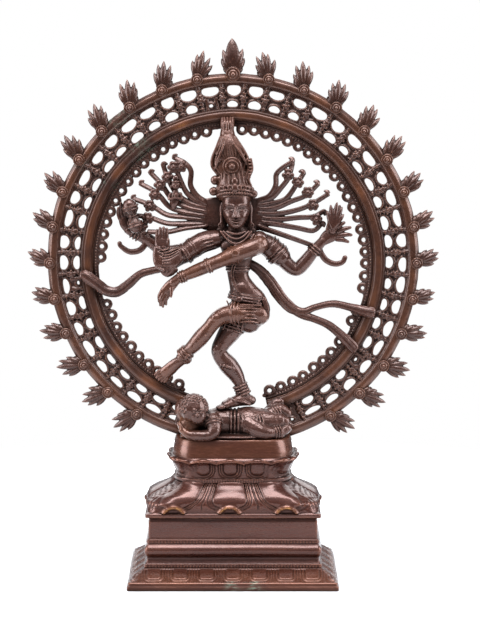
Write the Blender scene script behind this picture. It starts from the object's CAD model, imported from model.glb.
"""Looks of a cast brass Nataraja: patinated castings, studio light, floor and camera.

Lengths are in millimetres until a mesh is made.  +Z is up and the front faces -Y.  A lump of Clay has
its own middle plane, and the points given to it have their y measured from that plane.
"""

import random
from math import atan2, copysign, cos, degrees, exp, hypot, pi, radians, sin, sqrt

import bpy
import numpy as np
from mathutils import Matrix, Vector, noise


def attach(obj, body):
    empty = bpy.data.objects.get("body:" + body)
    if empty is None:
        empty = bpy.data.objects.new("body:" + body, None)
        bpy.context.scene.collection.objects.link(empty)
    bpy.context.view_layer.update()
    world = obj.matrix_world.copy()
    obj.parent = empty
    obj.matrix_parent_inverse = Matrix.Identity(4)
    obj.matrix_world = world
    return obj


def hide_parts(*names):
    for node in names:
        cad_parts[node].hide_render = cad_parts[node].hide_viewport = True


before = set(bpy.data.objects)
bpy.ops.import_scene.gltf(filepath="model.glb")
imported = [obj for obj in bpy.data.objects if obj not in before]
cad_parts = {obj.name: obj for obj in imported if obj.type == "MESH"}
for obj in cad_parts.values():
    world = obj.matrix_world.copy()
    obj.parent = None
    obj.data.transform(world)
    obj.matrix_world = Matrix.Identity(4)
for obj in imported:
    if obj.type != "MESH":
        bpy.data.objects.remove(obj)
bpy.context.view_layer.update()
MM = 0.001
DETAIL = 1.0

ARCH_Z = 226.0  # centre of the arch
INNER_RIM, OUTER_RIM = 100.4, 125.5  # radii of the rims' middles
LOOP_RADIUS = 91.4  # where the pierced loops' middles lie
FIGURE_Y = -9.0  # the dancer's middle plane, and those of what goes with it
HEAD_Y, HAIR_Y, GODDESS_Y = FIGURE_Y - 2.0, FIGURE_Y + 3.5, FIGURE_Y + 0.8
SASH_Y, DWARF_Y = FIGURE_Y + 3.4, FIGURE_Y - 5.0
FLAMES = 27
FLAME_PITCH = 11.42  # degrees
CELLS = 43
CELL_PITCH = 7.62  # degrees
TAU = 2 * pi
FORWARD = (0, 1, 0)  # axis of rings that face the viewer


# ---------------------------------------------------------------- camera, light, floor


LENS = 129.2
CAMERA_PLACE = (0.0049, -1.604, 0.4082)  # metres
CAMERA_TARGET = (0.0049, 0.0, 0.1827)
LAMP_TARGET = (0, 0, 0.2)
COOL_WHITE, COLD_WHITE = (0.96, 0.98, 1.0), (0.94, 0.97, 1.0)


def aim(obj, target):
    """Points a camera or lamp at a place."""
    heading = Vector(target) - obj.location
    obj.rotation_euler = heading.to_track_quat("-Z", "Y").to_euler()


def add_camera():
    """Long lens, a little above the statue's middle."""
    camera = bpy.data.objects.new("camera", bpy.data.cameras.new("camera"))
    bpy.context.collection.objects.link(camera)
    camera.data.lens = LENS
    camera.location = CAMERA_PLACE
    aim(camera, CAMERA_TARGET)
    camera.data.clip_end = 50
    bpy.context.scene.camera = camera


def add_softbox(name, place, width, height, power, colour=(1, 1, 1)):
    """Rectangular area light turned to the statue."""
    lamp = bpy.data.lights.new(name, "AREA")
    lamp.shape = "RECTANGLE"
    lamp.size, lamp.size_y = width, height
    lamp.energy = power
    lamp.color = colour
    obj = bpy.data.objects.new(name, lamp)
    bpy.context.collection.objects.link(obj)
    obj.location = place
    aim(obj, LAMP_TARGET)


def set_range(node, low, high, to_low, to_high):
    """Turns low..high into to_low..to_high."""
    for socket, value in (("From Min", low), ("From Max", high), ("To Min", to_low), ("To Max", to_high)):
        node.inputs[socket].default_value = value


def add_world():
    """White surroundings as seen; for lighting, a bright ceiling over a dim room."""
    world = bpy.data.worlds.new("studio")
    bpy.context.scene.world = world
    world.use_nodes = True
    nodes, links = world.node_tree.nodes, world.node_tree.links
    nodes.clear()
    output = nodes.new("ShaderNodeOutputWorld")
    mix = nodes.new("ShaderNodeMixShader")
    path = nodes.new("ShaderNodeLightPath")
    seen, given = nodes.new("ShaderNodeBackground"), nodes.new("ShaderNodeBackground")
    seen.inputs["Color"].default_value = (1, 1, 1, 1)
    seen.inputs["Strength"].default_value = 1.0
    given.inputs["Color"].default_value = (0.90, 0.95, 1.0, 1)
    direction = nodes.new("ShaderNodeTexCoord")
    split = nodes.new("ShaderNodeSeparateXYZ")
    height = nodes.new("ShaderNodeMapRange")
    set_range(height, -0.1, 0.8, 0.17, 1.2)
    links.new(direction.outputs["Generated"], split.inputs[0])
    links.new(split.outputs["Z"], height.inputs["Value"])
    links.new(height.outputs["Result"], given.inputs["Strength"])
    links.new(path.outputs["Is Camera Ray"], mix.inputs["Fac"])
    links.new(given.outputs[0], mix.inputs[1])
    links.new(seen.outputs[0], mix.inputs[2])
    links.new(mix.outputs[0], output.inputs["Surface"])


def add_floor():
    """Plain white floor that glows to pure white away from the statue."""
    bpy.ops.mesh.primitive_circle_add(vertices=96, radius=0.5, fill_type="NGON", location=(0, 0, -0.0002))
    floor = bpy.context.object
    floor.name = "floor"
    paint = bpy.data.materials.new("floor_white")
    paint.use_nodes = True
    nodes, links = paint.node_tree.nodes, paint.node_tree.links
    shader = nodes["Principled BSDF"]
    shader.inputs["Base Color"].default_value = (0.6, 0.6, 0.61, 1)
    shader.inputs["Roughness"].default_value = 0.8
    shader.inputs["Specular IOR Level"].default_value = 0.1
    shader.inputs["Emission Color"].default_value = (1, 1, 1, 1)
    place = nodes.new("ShaderNodeTexCoord")
    reach = nodes.new("ShaderNodeVectorMath")
    reach.operation = "LENGTH"
    glow = nodes.new("ShaderNodeMapRange")
    glow.interpolation_type = "SMOOTHSTEP"
    set_range(glow, 0.10, 0.48, 0.05, 1.0)
    links.new(place.outputs["Object"], reach.inputs[0])
    links.new(reach.outputs["Value"], glow.inputs["Value"])
    links.new(glow.outputs["Result"], shader.inputs["Emission Strength"])
    floor.data.materials.append(paint)


# ---------------------------------------------------------------- patinated brass


COPPERY, BRASSY = (0.15, 0.05, 0.02), (0.34, 0.165, 0.045)  # colours of handled metal, by wear
VERDIGRIS, GREEN_STAIN = (0.16, 0.21, 0.13), (0.15, 0.20, 0.15)


def patina_material(name, dark, body, rubbed, roughness, mottle=0.5, streak=1.0, pitting=0.45,
                    lacquer=0.32):
    """Chemically browned brass: nearly black in the recesses, coppery where hands have rubbed it.

    streak squeezes the mottling in height, as if brushed on level.  A piece's "rub" attribute is how far
    its skin is worn through to bare metal (0 to 1), or how green it is (0 to -1).
    """
    material = bpy.data.materials.new(name)
    material.use_nodes = True
    nodes, links = material.node_tree.nodes, material.node_tree.links
    shader = nodes["Principled BSDF"]
    brushed = nodes.new("ShaderNodeMapping")
    brushed.inputs["Scale"].default_value = (streak ** -0.5, streak ** -0.5, streak ** 0.5)
    links.new(nodes.new("ShaderNodeTexCoord").outputs["Object"], brushed.inputs["Vector"])
    place = brushed.outputs["Vector"]

    def cloud(scale, detail=3.0, rough=0.55):
        tex = nodes.new("ShaderNodeTexNoise")
        tex.inputs["Scale"].default_value = scale
        tex.inputs["Detail"].default_value = detail
        tex.inputs["Roughness"].default_value = rough
        links.new(place, tex.inputs["Vector"])
        return tex.outputs["Fac"]

    def remap(source, low, high, to_low=0.0, to_high=1.0):
        node = nodes.new("ShaderNodeMapRange")
        set_range(node, low, high, to_low, to_high)
        links.new(source, node.inputs["Value"])
        return node.outputs["Result"]

    def maths(kind, first, second):
        node = nodes.new("ShaderNodeMath")
        node.operation = kind
        node.use_clamp = kind in ("ADD", "SUBTRACT")
        for socket, value in zip(node.inputs, (first, second)):
            if isinstance(value, float):
                socket.default_value = value
            else:
                links.new(value, socket)
        return node.outputs[0]

    def blend(factor, first, second):
        node = nodes.new("ShaderNodeMix")
        node.data_type = "RGBA"
        links.new(factor, node.inputs["Factor"])
        for socket, value in zip((node.inputs[6], node.inputs[7]), (first, second)):
            if isinstance(value, tuple):
                socket.default_value = (*value, 1)
            else:
                links.new(value, socket)
        return node.outputs[2]

    geometry = nodes.new("ShaderNodeNewGeometry")
    edge = remap(geometry.outputs["Pointiness"], 0.51, 0.59)
    hollow = remap(geometry.outputs["Pointiness"], 0.50, 0.44)
    shade = nodes.new("ShaderNodeAmbientOcclusion")
    shade.inputs["Distance"].default_value = 0.008
    shade.samples = 6
    buried = remap(shade.outputs["AO"], 0.95, 0.45)
    wide, fine = cloud(28.0, 4.0), cloud(420.0, 3.0)
    patchy = remap(wide, 0.38, 0.66)
    grime = maths("ADD", maths("MULTIPLY", hollow, 0.55), maths("MULTIPLY", buried, 0.82))
    worn = maths("MULTIPLY", edge, remap(cloud(90.0), 0.3, 0.62, 0.25, 1.0))
    rub = nodes.new("ShaderNodeAttribute")
    rub.attribute_name = "rub"
    worn = maths("ADD", worn, maths("MULTIPLY", patchy, 0.16 * mottle))
    warm = tuple(c * k for c, k in zip(body, (1.35, 1.12, 0.95)))
    colour = blend(remap(fine, 0.35, 0.7, 0.0, mottle), body, warm)
    colour = blend(maths("MULTIPLY", patchy, 0.6 * mottle), colour, warm)
    colour = blend(worn, colour, rubbed)
    dust = tuple(6 * c for c in dark)
    colour = blend(grime, colour, blend(remap(cloud(45.0, 4.0), 0.48, 0.66), dark, dust))
    verdigris = remap(cloud(55.0, 5.0, 0.7), 0.70, 0.78, 0.0, 0.55)
    colour = blend(maths("MULTIPLY", verdigris, maths("ADD", buried, 0.15)), colour, VERDIGRIS)
    handled = maths("MULTIPLY", rub.outputs["Fac"], remap(cloud(75.0, 4.0), 0.36, 0.62, 0.3, 1.15))
    colour = blend(remap(handled, 0.0, 0.5), colour, COPPERY)
    colour = blend(remap(handled, 0.42, 0.9), colour, BRASSY)
    green = maths("MULTIPLY", remap(rub.outputs["Fac"], 0.0, -1.0),
                  remap(cloud(380.0, 5.0, 0.7), 0.46, 0.6))
    colour = blend(green, colour, GREEN_STAIN)
    links.new(colour, shader.inputs["Base Color"])
    shader.inputs["Metallic"].default_value = 0.5
    clean = maths("SUBTRACT", 1.0, grime)
    links.new(maths("MULTIPLY", clean, lacquer), shader.inputs["Coat Weight"])
    links.new(maths("MULTIPLY", clean, 0.5), shader.inputs["Specular IOR Level"])
    shader.inputs["Coat Roughness"].default_value = roughness * 0.6
    gloss = remap(fine, 0.3, 0.7, roughness - 0.07, roughness + 0.09)
    links.new(maths("ADD", gloss, maths("MULTIPLY", grime, 0.22)), shader.inputs["Roughness"])
    pits = nodes.new("ShaderNodeBump")
    pits.inputs["Strength"].default_value = pitting
    pits.inputs["Distance"].default_value = 0.0005
    grains, dents = maths("MULTIPLY", cloud(900.0, 3.0), 0.5), maths("MULTIPLY", cloud(230.0, 4.0), 0.5)
    links.new(maths("ADD", grains, dents), pits.inputs["Height"])
    links.new(pits.outputs["Normal"], shader.inputs["Normal"])
    return material


def steel_material():
    """Dull plated steel of the fixings."""
    material = bpy.data.materials.new("plated_steel")
    material.use_nodes = True
    nodes, links = material.node_tree.nodes, material.node_tree.links
    shader = nodes["Principled BSDF"]
    shader.inputs["Metallic"].default_value = 1.0
    tex = nodes.new("ShaderNodeTexNoise")
    tex.inputs["Scale"].default_value = 600.0
    ramp = nodes.new("ShaderNodeValToRGB")
    ramp.color_ramp.elements[0].color = (0.26, 0.24, 0.22, 1)
    ramp.color_ramp.elements[1].color = (0.55, 0.54, 0.52, 1)
    links.new(tex.outputs["Fac"], ramp.inputs["Fac"])
    links.new(ramp.outputs["Color"], shader.inputs["Base Color"])
    rough = nodes.new("ShaderNodeMapRange")
    rough.inputs["To Min"].default_value = 0.3
    rough.inputs["To Max"].default_value = 0.55
    links.new(tex.outputs["Fac"], rough.inputs["Value"])
    links.new(rough.outputs["Result"], shader.inputs["Roughness"])
    return material


MATERIALS = {
    "arch_brass": patina_material(
        "arch_brass", dark=(0.006, 0.0036, 0.003), body=(0.036, 0.0116, 0.0072),
        rubbed=(0.19, 0.08, 0.045), roughness=0.32),
    "figure_brass": patina_material(
        "figure_brass", dark=(0.009, 0.0058, 0.005), body=(0.042, 0.0140, 0.0092),
        rubbed=(0.19, 0.085, 0.06), roughness=0.29, mottle=0.7),
    "pedestal_brass": patina_material(
        "pedestal_brass", dark=(0.005, 0.003, 0.0025), body=(0.041, 0.0104, 0.0067),
        rubbed=(0.20, 0.07, 0.036), roughness=0.25, mottle=0.8, streak=5.0, pitting=0.16, lacquer=0.22),
    "fastener_steel": steel_material(),
}


# ---------------------------------------------------------------- making castings


def near(value, centre, width):
    """Bell curve: 1 at the centre, fading over the width."""
    return exp(-((value - centre) / width) ** 2)


def within(value):
    """The value, kept between 0 and 1."""
    return min(1.0, max(0.0, value))


def waver(*place):
    """Smooth noise at a place, about -1 to 1."""
    return noise.noise(Vector(place))


def new_piece(name, verts, faces, slot, *nodes, rub=None):
    """Mesh object from points in millimetres, riding on the statue in place of its CAD nodes."""
    mesh = bpy.data.meshes.new(name)
    mesh.from_pydata((np.asarray(verts, float) * MM).tolist(), [], faces)
    mesh.update()
    obj = bpy.data.objects.new(name, mesh)
    bpy.context.collection.objects.link(obj)
    finish_piece(obj, slot, *nodes, rub=rub)


def finish_piece(obj, slot, *nodes, rub=None):
    """Material, smooth shading, body and the CAD nodes that the piece stands for."""
    mesh = obj.data
    mesh.polygons.foreach_set("use_smooth", [True] * len(mesh.polygons))
    if rub is not None:
        layer = mesh.attributes.new("rub", "FLOAT", "POINT")
        layer.data.foreach_set("value", np.asarray(rub, np.float32))
    mesh.materials.clear()
    mesh.materials.append(MATERIALS[slot])
    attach(obj, "root")
    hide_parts(*nodes)


def spline_rows(rows, steps):
    """Catmull-Rom curve through rows of numbers, steps points to each span."""
    rows = np.asarray(rows, float)
    padded = np.vstack([2 * rows[0] - rows[1], rows, 2 * rows[-1] - rows[-2]])
    out = []
    for a, b, c, d in zip(padded, padded[1:], padded[2:], padded[3:]):
        for u in np.arange(steps) / steps:
            out.append(0.5 * (2 * b + (c - a) * u + (2 * a - 5 * b + 4 * c - d) * u ** 2
                              + (3 * b - a - 3 * c + d) * u ** 3))
    out.append(rows[-1])
    return np.array(out)


def unit(v):
    """Vector of length one."""
    return v / max(np.linalg.norm(v), 1e-9)


def around(count, start=0.0, stop=TAU):
    """Equal steps of angle, without the last one."""
    return np.linspace(start, stop, count, endpoint=False)


def band(low, high, count):
    """Quads between two rings of points, given the number of each ring's first point."""
    return [(low + i, low + (i + 1) % count, high + (i + 1) % count, high + i) for i in range(count)]


class Clay:
    """Overlapping closed solids, fused into one casting at the end."""

    def __init__(self, middle=0.0):
        self.middle = middle
        self.verts, self.faces, self.total = [], [], 0

    def at(self, place):
        """A place with its y counted from the statue's middle."""
        x, y, z = place
        return np.array((x, self.middle + y, z), float)

    def add(self, verts, faces):
        """One closed mesh, already in the statue's own frame."""
        self.verts.append(np.asarray(verts, float))
        self.faces += [tuple(i + self.total for i in face) for face in faces]
        self.total += len(verts)

    def loops(self, rings):
        """Closed solid through equal rings of points, capped at both ends."""
        count = len(rings[0])
        faces = []
        for k in range(len(rings) - 1):
            faces += band(k * count, (k + 1) * count, count)
        last = (len(rings) - 1) * count
        faces.append(tuple(range(count))[::-1])
        faces.append(tuple(range(last, last + count)))
        self.add(np.vstack(rings), faces)

    def ball(self, place, radii):
        """Egg with three half sizes, or one radius."""
        radii = np.ones(3) * radii
        rings = []
        for v in np.linspace(-pi / 2 + 0.12, pi / 2 - 0.12, 11):
            ring = [(cos(u) * cos(v), sin(u) * cos(v), sin(v)) for u in around(18)]
            rings.append(np.array(ring) * radii)
        self.loops([ring + self.at(place) for ring in rings])

    def tube(self, rows, steps=5, sides=14, facing=(0, -1, 0), section=None):
        """Smooth tube: rows are (x, y, z, half width, half depth) or (x, y, z, radius).

        Depth is measured along the facing direction.  section scales the radius round the tube.
        """
        rows = [(*self.at(row[:3]), row[3], row[-1]) for row in rows]
        path = spline_rows(rows, steps)
        points, sizes = path[:, :3], np.maximum(path[:, 3:], 0.05)
        heading = np.gradient(points, axis=0)
        facing = np.asarray(facing, float)
        rings = []
        last_across = None
        turns = around(sides)
        shape = np.ones(sides) if section is None else np.array([section(t) for t in turns])

        def ring(k, shift, scale):
            nonlocal last_across
            ahead = unit(heading[k])
            across = np.cross(ahead, facing)
            if np.linalg.norm(across) < 0.25 and last_across is not None:
                across = last_across
            across = unit(across - ahead * np.dot(across, ahead))
            last_across = across
            deep = np.cross(across, ahead)
            wide, thick = sizes[k] * scale
            centre = points[k] + ahead * shift
            return centre + np.outer(np.cos(turns) * shape, across) * wide \
                + np.outer(np.sin(turns) * shape, deep) * thick

        start, end = sizes[0].min(), sizes[-1].min()
        bends = [radians(bend) for bend in (25, 50, 80)]
        rings += [ring(0, -start * sin(a), cos(a)) for a in bends[::-1]]
        rings += [ring(k, 0, 1) for k in range(len(points))]
        rings += [ring(len(points) - 1, end * sin(a), cos(a)) for a in bends]
        self.loops(rings)

    def hoop(self, centre, axis, radii, thick, sides=8, count=40, squash=1.0):
        """Ring of wire round an axis.

        radii are one radius, or the half sizes across and along the view.
        """
        wide, far = np.ones(2) * radii
        centre = self.at(centre)
        axis = unit(np.asarray(axis, float))
        deep = np.array([0, -1, 0]) - axis * np.dot([0, -1, 0], axis)
        deep = unit(deep) if np.linalg.norm(deep) > 0.1 else np.array([0, 0, 1.0])
        across = np.cross(axis, deep)
        rings = []
        for u in around(count):
            out = across * cos(u) * wide + deep * sin(u) * far
            away = unit(across * cos(u) * far + deep * sin(u) * wide)
            ring = [centre + out + away * cos(t) * thick + axis * sin(t) * thick * squash
                    for t in around(sides)]
            rings.append(np.array(ring))
        faces = []
        for k in range(count):
            faces += band(k * sides, (k + 1) % count * sides, sides)
        self.add(np.vstack(rings), faces)

    def flower(self, heart, count, reach, petal, lift=0.0, start=0.0):
        """Round petals about a heart, set back from it by the lift."""
        for k in range(count):
            a = start + k * TAU / count
            x, y, z = heart
            self.ball((x + reach * cos(a), y + lift, z + reach * sin(a)), petal)

    def beads(self, rows, pitch, radius):
        """Row of round beads along a smooth path."""
        path = spline_rows([row[:3] for row in rows], 12)
        run = np.concatenate([[0], np.cumsum(np.linalg.norm(np.diff(path, axis=0), axis=1))])
        for d in np.arange(0, run[-1], pitch):
            self.ball([np.interp(d, run, path[:, i]) for i in range(3)], radius)

    def cast(self, name, slot, *nodes, voxel=0.4, soften=3, rough=0.06, rub=None):
        """Fuses the solids, softens the joins and leaves a slightly uneven cast skin."""
        mesh = bpy.data.meshes.new(name + "_clay")
        mesh.from_pydata((np.vstack(self.verts) * MM).tolist(), [], self.faces)
        mesh.update()
        rough_obj = bpy.data.objects.new(name + "_clay", mesh)
        bpy.context.collection.objects.link(rough_obj)
        fuse = rough_obj.modifiers.new("fuse", "REMESH")
        fuse.mode = "VOXEL"
        fuse.voxel_size = voxel * DETAIL * MM
        smooth = rough_obj.modifiers.new("soften", "SMOOTH")
        smooth.factor = 0.5
        smooth.iterations = soften
        bpy.context.view_layer.update()
        graph = bpy.context.evaluated_depsgraph_get()
        made = bpy.data.meshes.new_from_object(rough_obj.evaluated_get(graph))
        bpy.data.objects.remove(rough_obj)
        made.name = name
        skin = np.empty(len(made.vertices) * 3)
        away = np.empty(len(made.vertices) * 3)
        made.vertices.foreach_get("co", skin)
        made.vertices.foreach_get("normal", away)
        skin, away = skin.reshape(-1, 3), away.reshape(-1, 3)
        lumps = [waver(*(Vector(v) * 300)) + 0.5 * waver(*(Vector(v) * 900)) for v in skin]
        skin += away * (np.array(lumps) * rough * MM)[:, None]
        made.vertices.foreach_set("co", skin.ravel())
        made.update()
        obj = bpy.data.objects.new(name, made)
        bpy.context.collection.objects.link(obj)
        worn = None if rub is None else [rub(v) for v in skin / MM]
        finish_piece(obj, slot, *nodes, rub=worn)


def on_arch(radius, turn, y=0.0):
    """Point at a radius from the arch's centre, turn degrees clockwise from the apex.

    The arch is drawn out a little towards its feet, the inner rim more than the outer one.
    """
    share = within((radius - 107.0) / 14.0)
    outer = 3.4 if turn > 0 else 1.8
    radius += (6.0 + (outer - 6.0) * share) * sin(radians(turn) / 2) ** 4
    a = radians(turn)
    return np.array([radius * sin(a), y, ARCH_Z + radius * cos(a)])


# ---------------------------------------------------------------- flaming arch


def wander(turn, seed, size):
    """Hand-made unevenness along the arch."""
    slow = waver(turn * 0.07, seed, 0.5)
    quick = waver(turn * 0.31, seed, 4.5)
    return size * slow + 0.4 * size * quick


def ring_moulding(name, profile, ends, crest, rub, seed, *nodes):
    """Moulding swept round the arch: profile is a closed list of (radius, y), rubbed at the crest."""
    rings, worn = [], []
    for turn in np.linspace(*ends, int(440 / DETAIL)):
        out, swell = wander(turn, seed, 0.35), 1 + wander(turn, seed + 3, 0.07)
        ring = [on_arch(r + out + wander(turn, r * 0.2, 0.12), turn, y * swell) for r, y in profile]
        rings.append(np.array(ring))
        green = 0.42 * (near(turn, -39, 5) + 0.6 * near(turn, -58, 3))
        polish = rub * max(0.3, 0.85 + 1.1 * waver(turn * 0.12, seed, 9.0))
        worn += [polish * near(r, crest, 2.6) - green if y < 0 else 0.0 for r, y in profile]
    clay = Clay()
    clay.loops(rings)
    new_piece(name, np.vstack(clay.verts), clay.faces, "arch_brass", *nodes, rub=worn)


def build_rims():
    """The two round-faced rims."""
    groove = 0.72  # angle up from the rim's own middle
    outer = []
    for t in around(30):
        swell = 1.0 - 0.13 * near(t, groove, 0.14) - 0.13 * near(t, pi - groove, 0.14)
        outer.append((OUTER_RIM + 4.2 * swell * cos(t), -3.5 * swell * sin(t)))
    ring_moulding("outer_rim", outer, (-164, 164), 125.8, 0.2, 1.0, "arch_outer_rim")
    front = [(94.9, -0.9), (95.3, -1.8), (96.0, -2.1), (96.7, -1.8), (97.1, -1.3), (97.5, -2.5),
             (98.1, -3.4), (99.2, -3.95), (100.6, -4.15), (101.8, -4.1), (102.8, -3.85), (103.3, -3.3),
             (103.8, -3.65), (104.7, -3.1), (105.4, -2.0), (105.8, -0.8)]
    back = [(105.8, 1.0), (105.2, 2.2), (104.0, 3.2), (102.0, 3.8), (100.0, 3.4), (97.4, 2.2), (95.2, 1.2)]
    ring_moulding("inner_rim", front + back, (-162, 167), INNER_RIM, 0.29, 7.0, "arch_inner_rim")


def window_edge(u, wide, high, flat):
    """Point on a window's edge at angle u: D-shaped, flat on the outer (+1) or inner (-1) side."""
    cu, su = cos(u), sin(u)
    square = 0.55 if su * flat > 0 else 1.15
    return (wide * copysign(abs(cu) ** square, cu), high * copysign(abs(su) ** square, su))


def cell_plate(clay, radius, turn, half_pitch, half_out, hole, flat):
    """Plate of one lattice cell round its window; hole is (half width, half height), in mm."""
    rings = [[], [], [], []]
    overlap, half_thick = 0.25, 1.25
    arc = radius * radians(half_pitch) + overlap
    count = 32
    for u in around(count):
        cu, su = cos(u), sin(u)
        reach = min(arc / max(abs(cu), 1e-6), half_out / max(abs(su), 1e-6))
        inner = window_edge(u, *hole, flat)
        outer = (reach * cu, reach * su)
        for spot, ring, side in ((outer, 0, -1), (inner, 1, -1), (inner, 2, 1), (outer, 3, 1)):
            bend = degrees(spot[0] / radius)
            rings[ring].append(on_arch(radius + spot[1], turn + bend, side * half_thick))
    faces = []
    for k in range(4):
        faces += band(k * count, (k + 1) % 4 * count, count)
    clay.add(np.vstack(rings), faces)


def build_lattice():
    """Openwork between the rims: two rows of D-shaped windows, with knotted bars between them."""
    rng = random.Random(4)
    halves = {-1: Clay(), 1: Clay()}
    nearly_shut = {(-1, "inner"), (-13, "inner"), (17, "inner")}
    # name, middle radius, half depth of the row, half width and half height of a window, flat side
    rows = (("outer", 117.8, 5.0, 5.7, 3.3, 1), ("inner", 108.6, 4.6, 4.6, 2.6, -1))
    half = (CELLS - 1) // 2
    for k in range(-half, half + 1):
        turn = k * CELL_PITCH
        clay = halves[-1 if k < 0 else 1]
        for row, radius, out, wide, high, flat in rows:
            wide *= rng.uniform(0.76, 1.08)
            high *= rng.uniform(0.78, 1.08)
            spot = turn + rng.uniform(-0.45, 0.45)
            if (k, row) in nearly_shut or k == half:
                wide, high = wide * 0.36, high * 0.45
            drift = rng.uniform(-0.4, 0.3)
            cell_plate(clay, radius + drift, spot, CELL_PITCH / 2, out, (wide, high), flat)
            frame_hole(clay, radius, spot, wide + 0.7, high + 0.7, flat)
            if (k, row) in nearly_shut:
                for shift in (-1.9, 1.9):
                    add_bar(clay, turn + shift, rng, 4)
        sides = (-0.5, 0.5) if k in (-half, 0) else (copysign(0.5, k),)
        for side in sides:
            add_bar(clay, turn + side * CELL_PITCH, rng)
    for side, name in ((-1, "lattice_left"), (1, "lattice_right")):
        halves[side].cast(name, "arch_brass", "arch_lattice", voxel=0.45, soften=2)


def frame_hole(clay, radius, turn, wide, high, flat):
    """Raised lip round a window, left open on its flat side."""
    rows = []
    for u in np.linspace(0.1, pi - 0.1, 11):
        across, out = window_edge(-flat * u, wide, high, flat)
        rows.append((*on_arch(radius + out, turn + degrees(across / radius), -1.5), 0.8))
    clay.tube(rows, steps=2, sides=8)


BAR_KNOTS = (  # (radius, half width) from the inner rim outward
    (105.5, 1.5), (108, 1.1), (110.4, 1.5), (112.8, 2.0), (115, 1.4), (118, 1.1), (122.5, 1.6),
)


def add_bar(clay, turn, rng, knots=len(BAR_KNOTS)):
    """Knotted bar out from the inner rim, with a little flower where the rows of windows meet."""
    rows = []
    for radius, size in BAR_KNOTS[:knots]:
        rows.append((*on_arch(radius, turn + rng.uniform(-0.25, 0.25), -1.0), size, 1.6))
    clay.tube(rows, steps=3, sides=10)
    if knots < len(BAR_KNOTS):
        return
    heart = on_arch(113.0, turn, -2.6)
    clay.ball(heart, (1.3, 1.0, 1.3))
    clay.flower(heart, 5, 1.9, (1.0, 0.8, 1.0), lift=0.35, start=turn)
    outward = on_arch(1, turn) - on_arch(0, turn)
    for radius in (107.2, 110.0, 116.2, 119.6):
        clay.hoop(on_arch(radius, turn, -1.0), outward, (1.6, 1.7), 0.45, count=16, sides=6)


def build_loops():
    """Scalloped border of pierced loops inside the inner rim."""
    rng = random.Random(11)
    pitch = 5.17  # degrees
    for side, name, first, last in ((-1, "loops_left", 11.8, 157), (1, "loops_right", 4.2, 165)):
        clay = Clay()
        strip = [(*on_arch(95.0, side * turn, 0), 2.3, 1.15) for turn in np.linspace(-3, last, 60)]
        clay.tube(strip, steps=2, sides=8)
        if side < 0:
            clay.tube([(*on_arch(93.6, -turn, 0), 2.2, 1.15) for turn in (2, 6, 10)], steps=3, sides=8)
        for turn in np.arange(first, last, pitch):
            under_sash = 93 < -side * turn < 109 or 107 < side * turn < 112 or 118 < side * turn < 124
            if under_sash:
                continue
            radius = LOOP_RADIUS + rng.uniform(-0.35, 0.35)
            centre = on_arch(radius, side * turn + rng.uniform(-0.3, 0.3))
            clay.hoop(centre, FORWARD, 2.8 * rng.uniform(0.92, 1.06), 1.5, squash=0.95, count=24)
            clay.ball(on_arch(94.0, side * (turn + 2.58), 0.1), (1.9, 1.25, 1.5))
        beads = [on_arch(95.2, side * turn, -1.3) for turn in np.linspace(6, last - 2, 40)]
        clay.beads(beads, 2.1, 0.62)
        clay.cast(name, "arch_brass", "arch_loop_border", voxel=0.4, soften=2)


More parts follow.
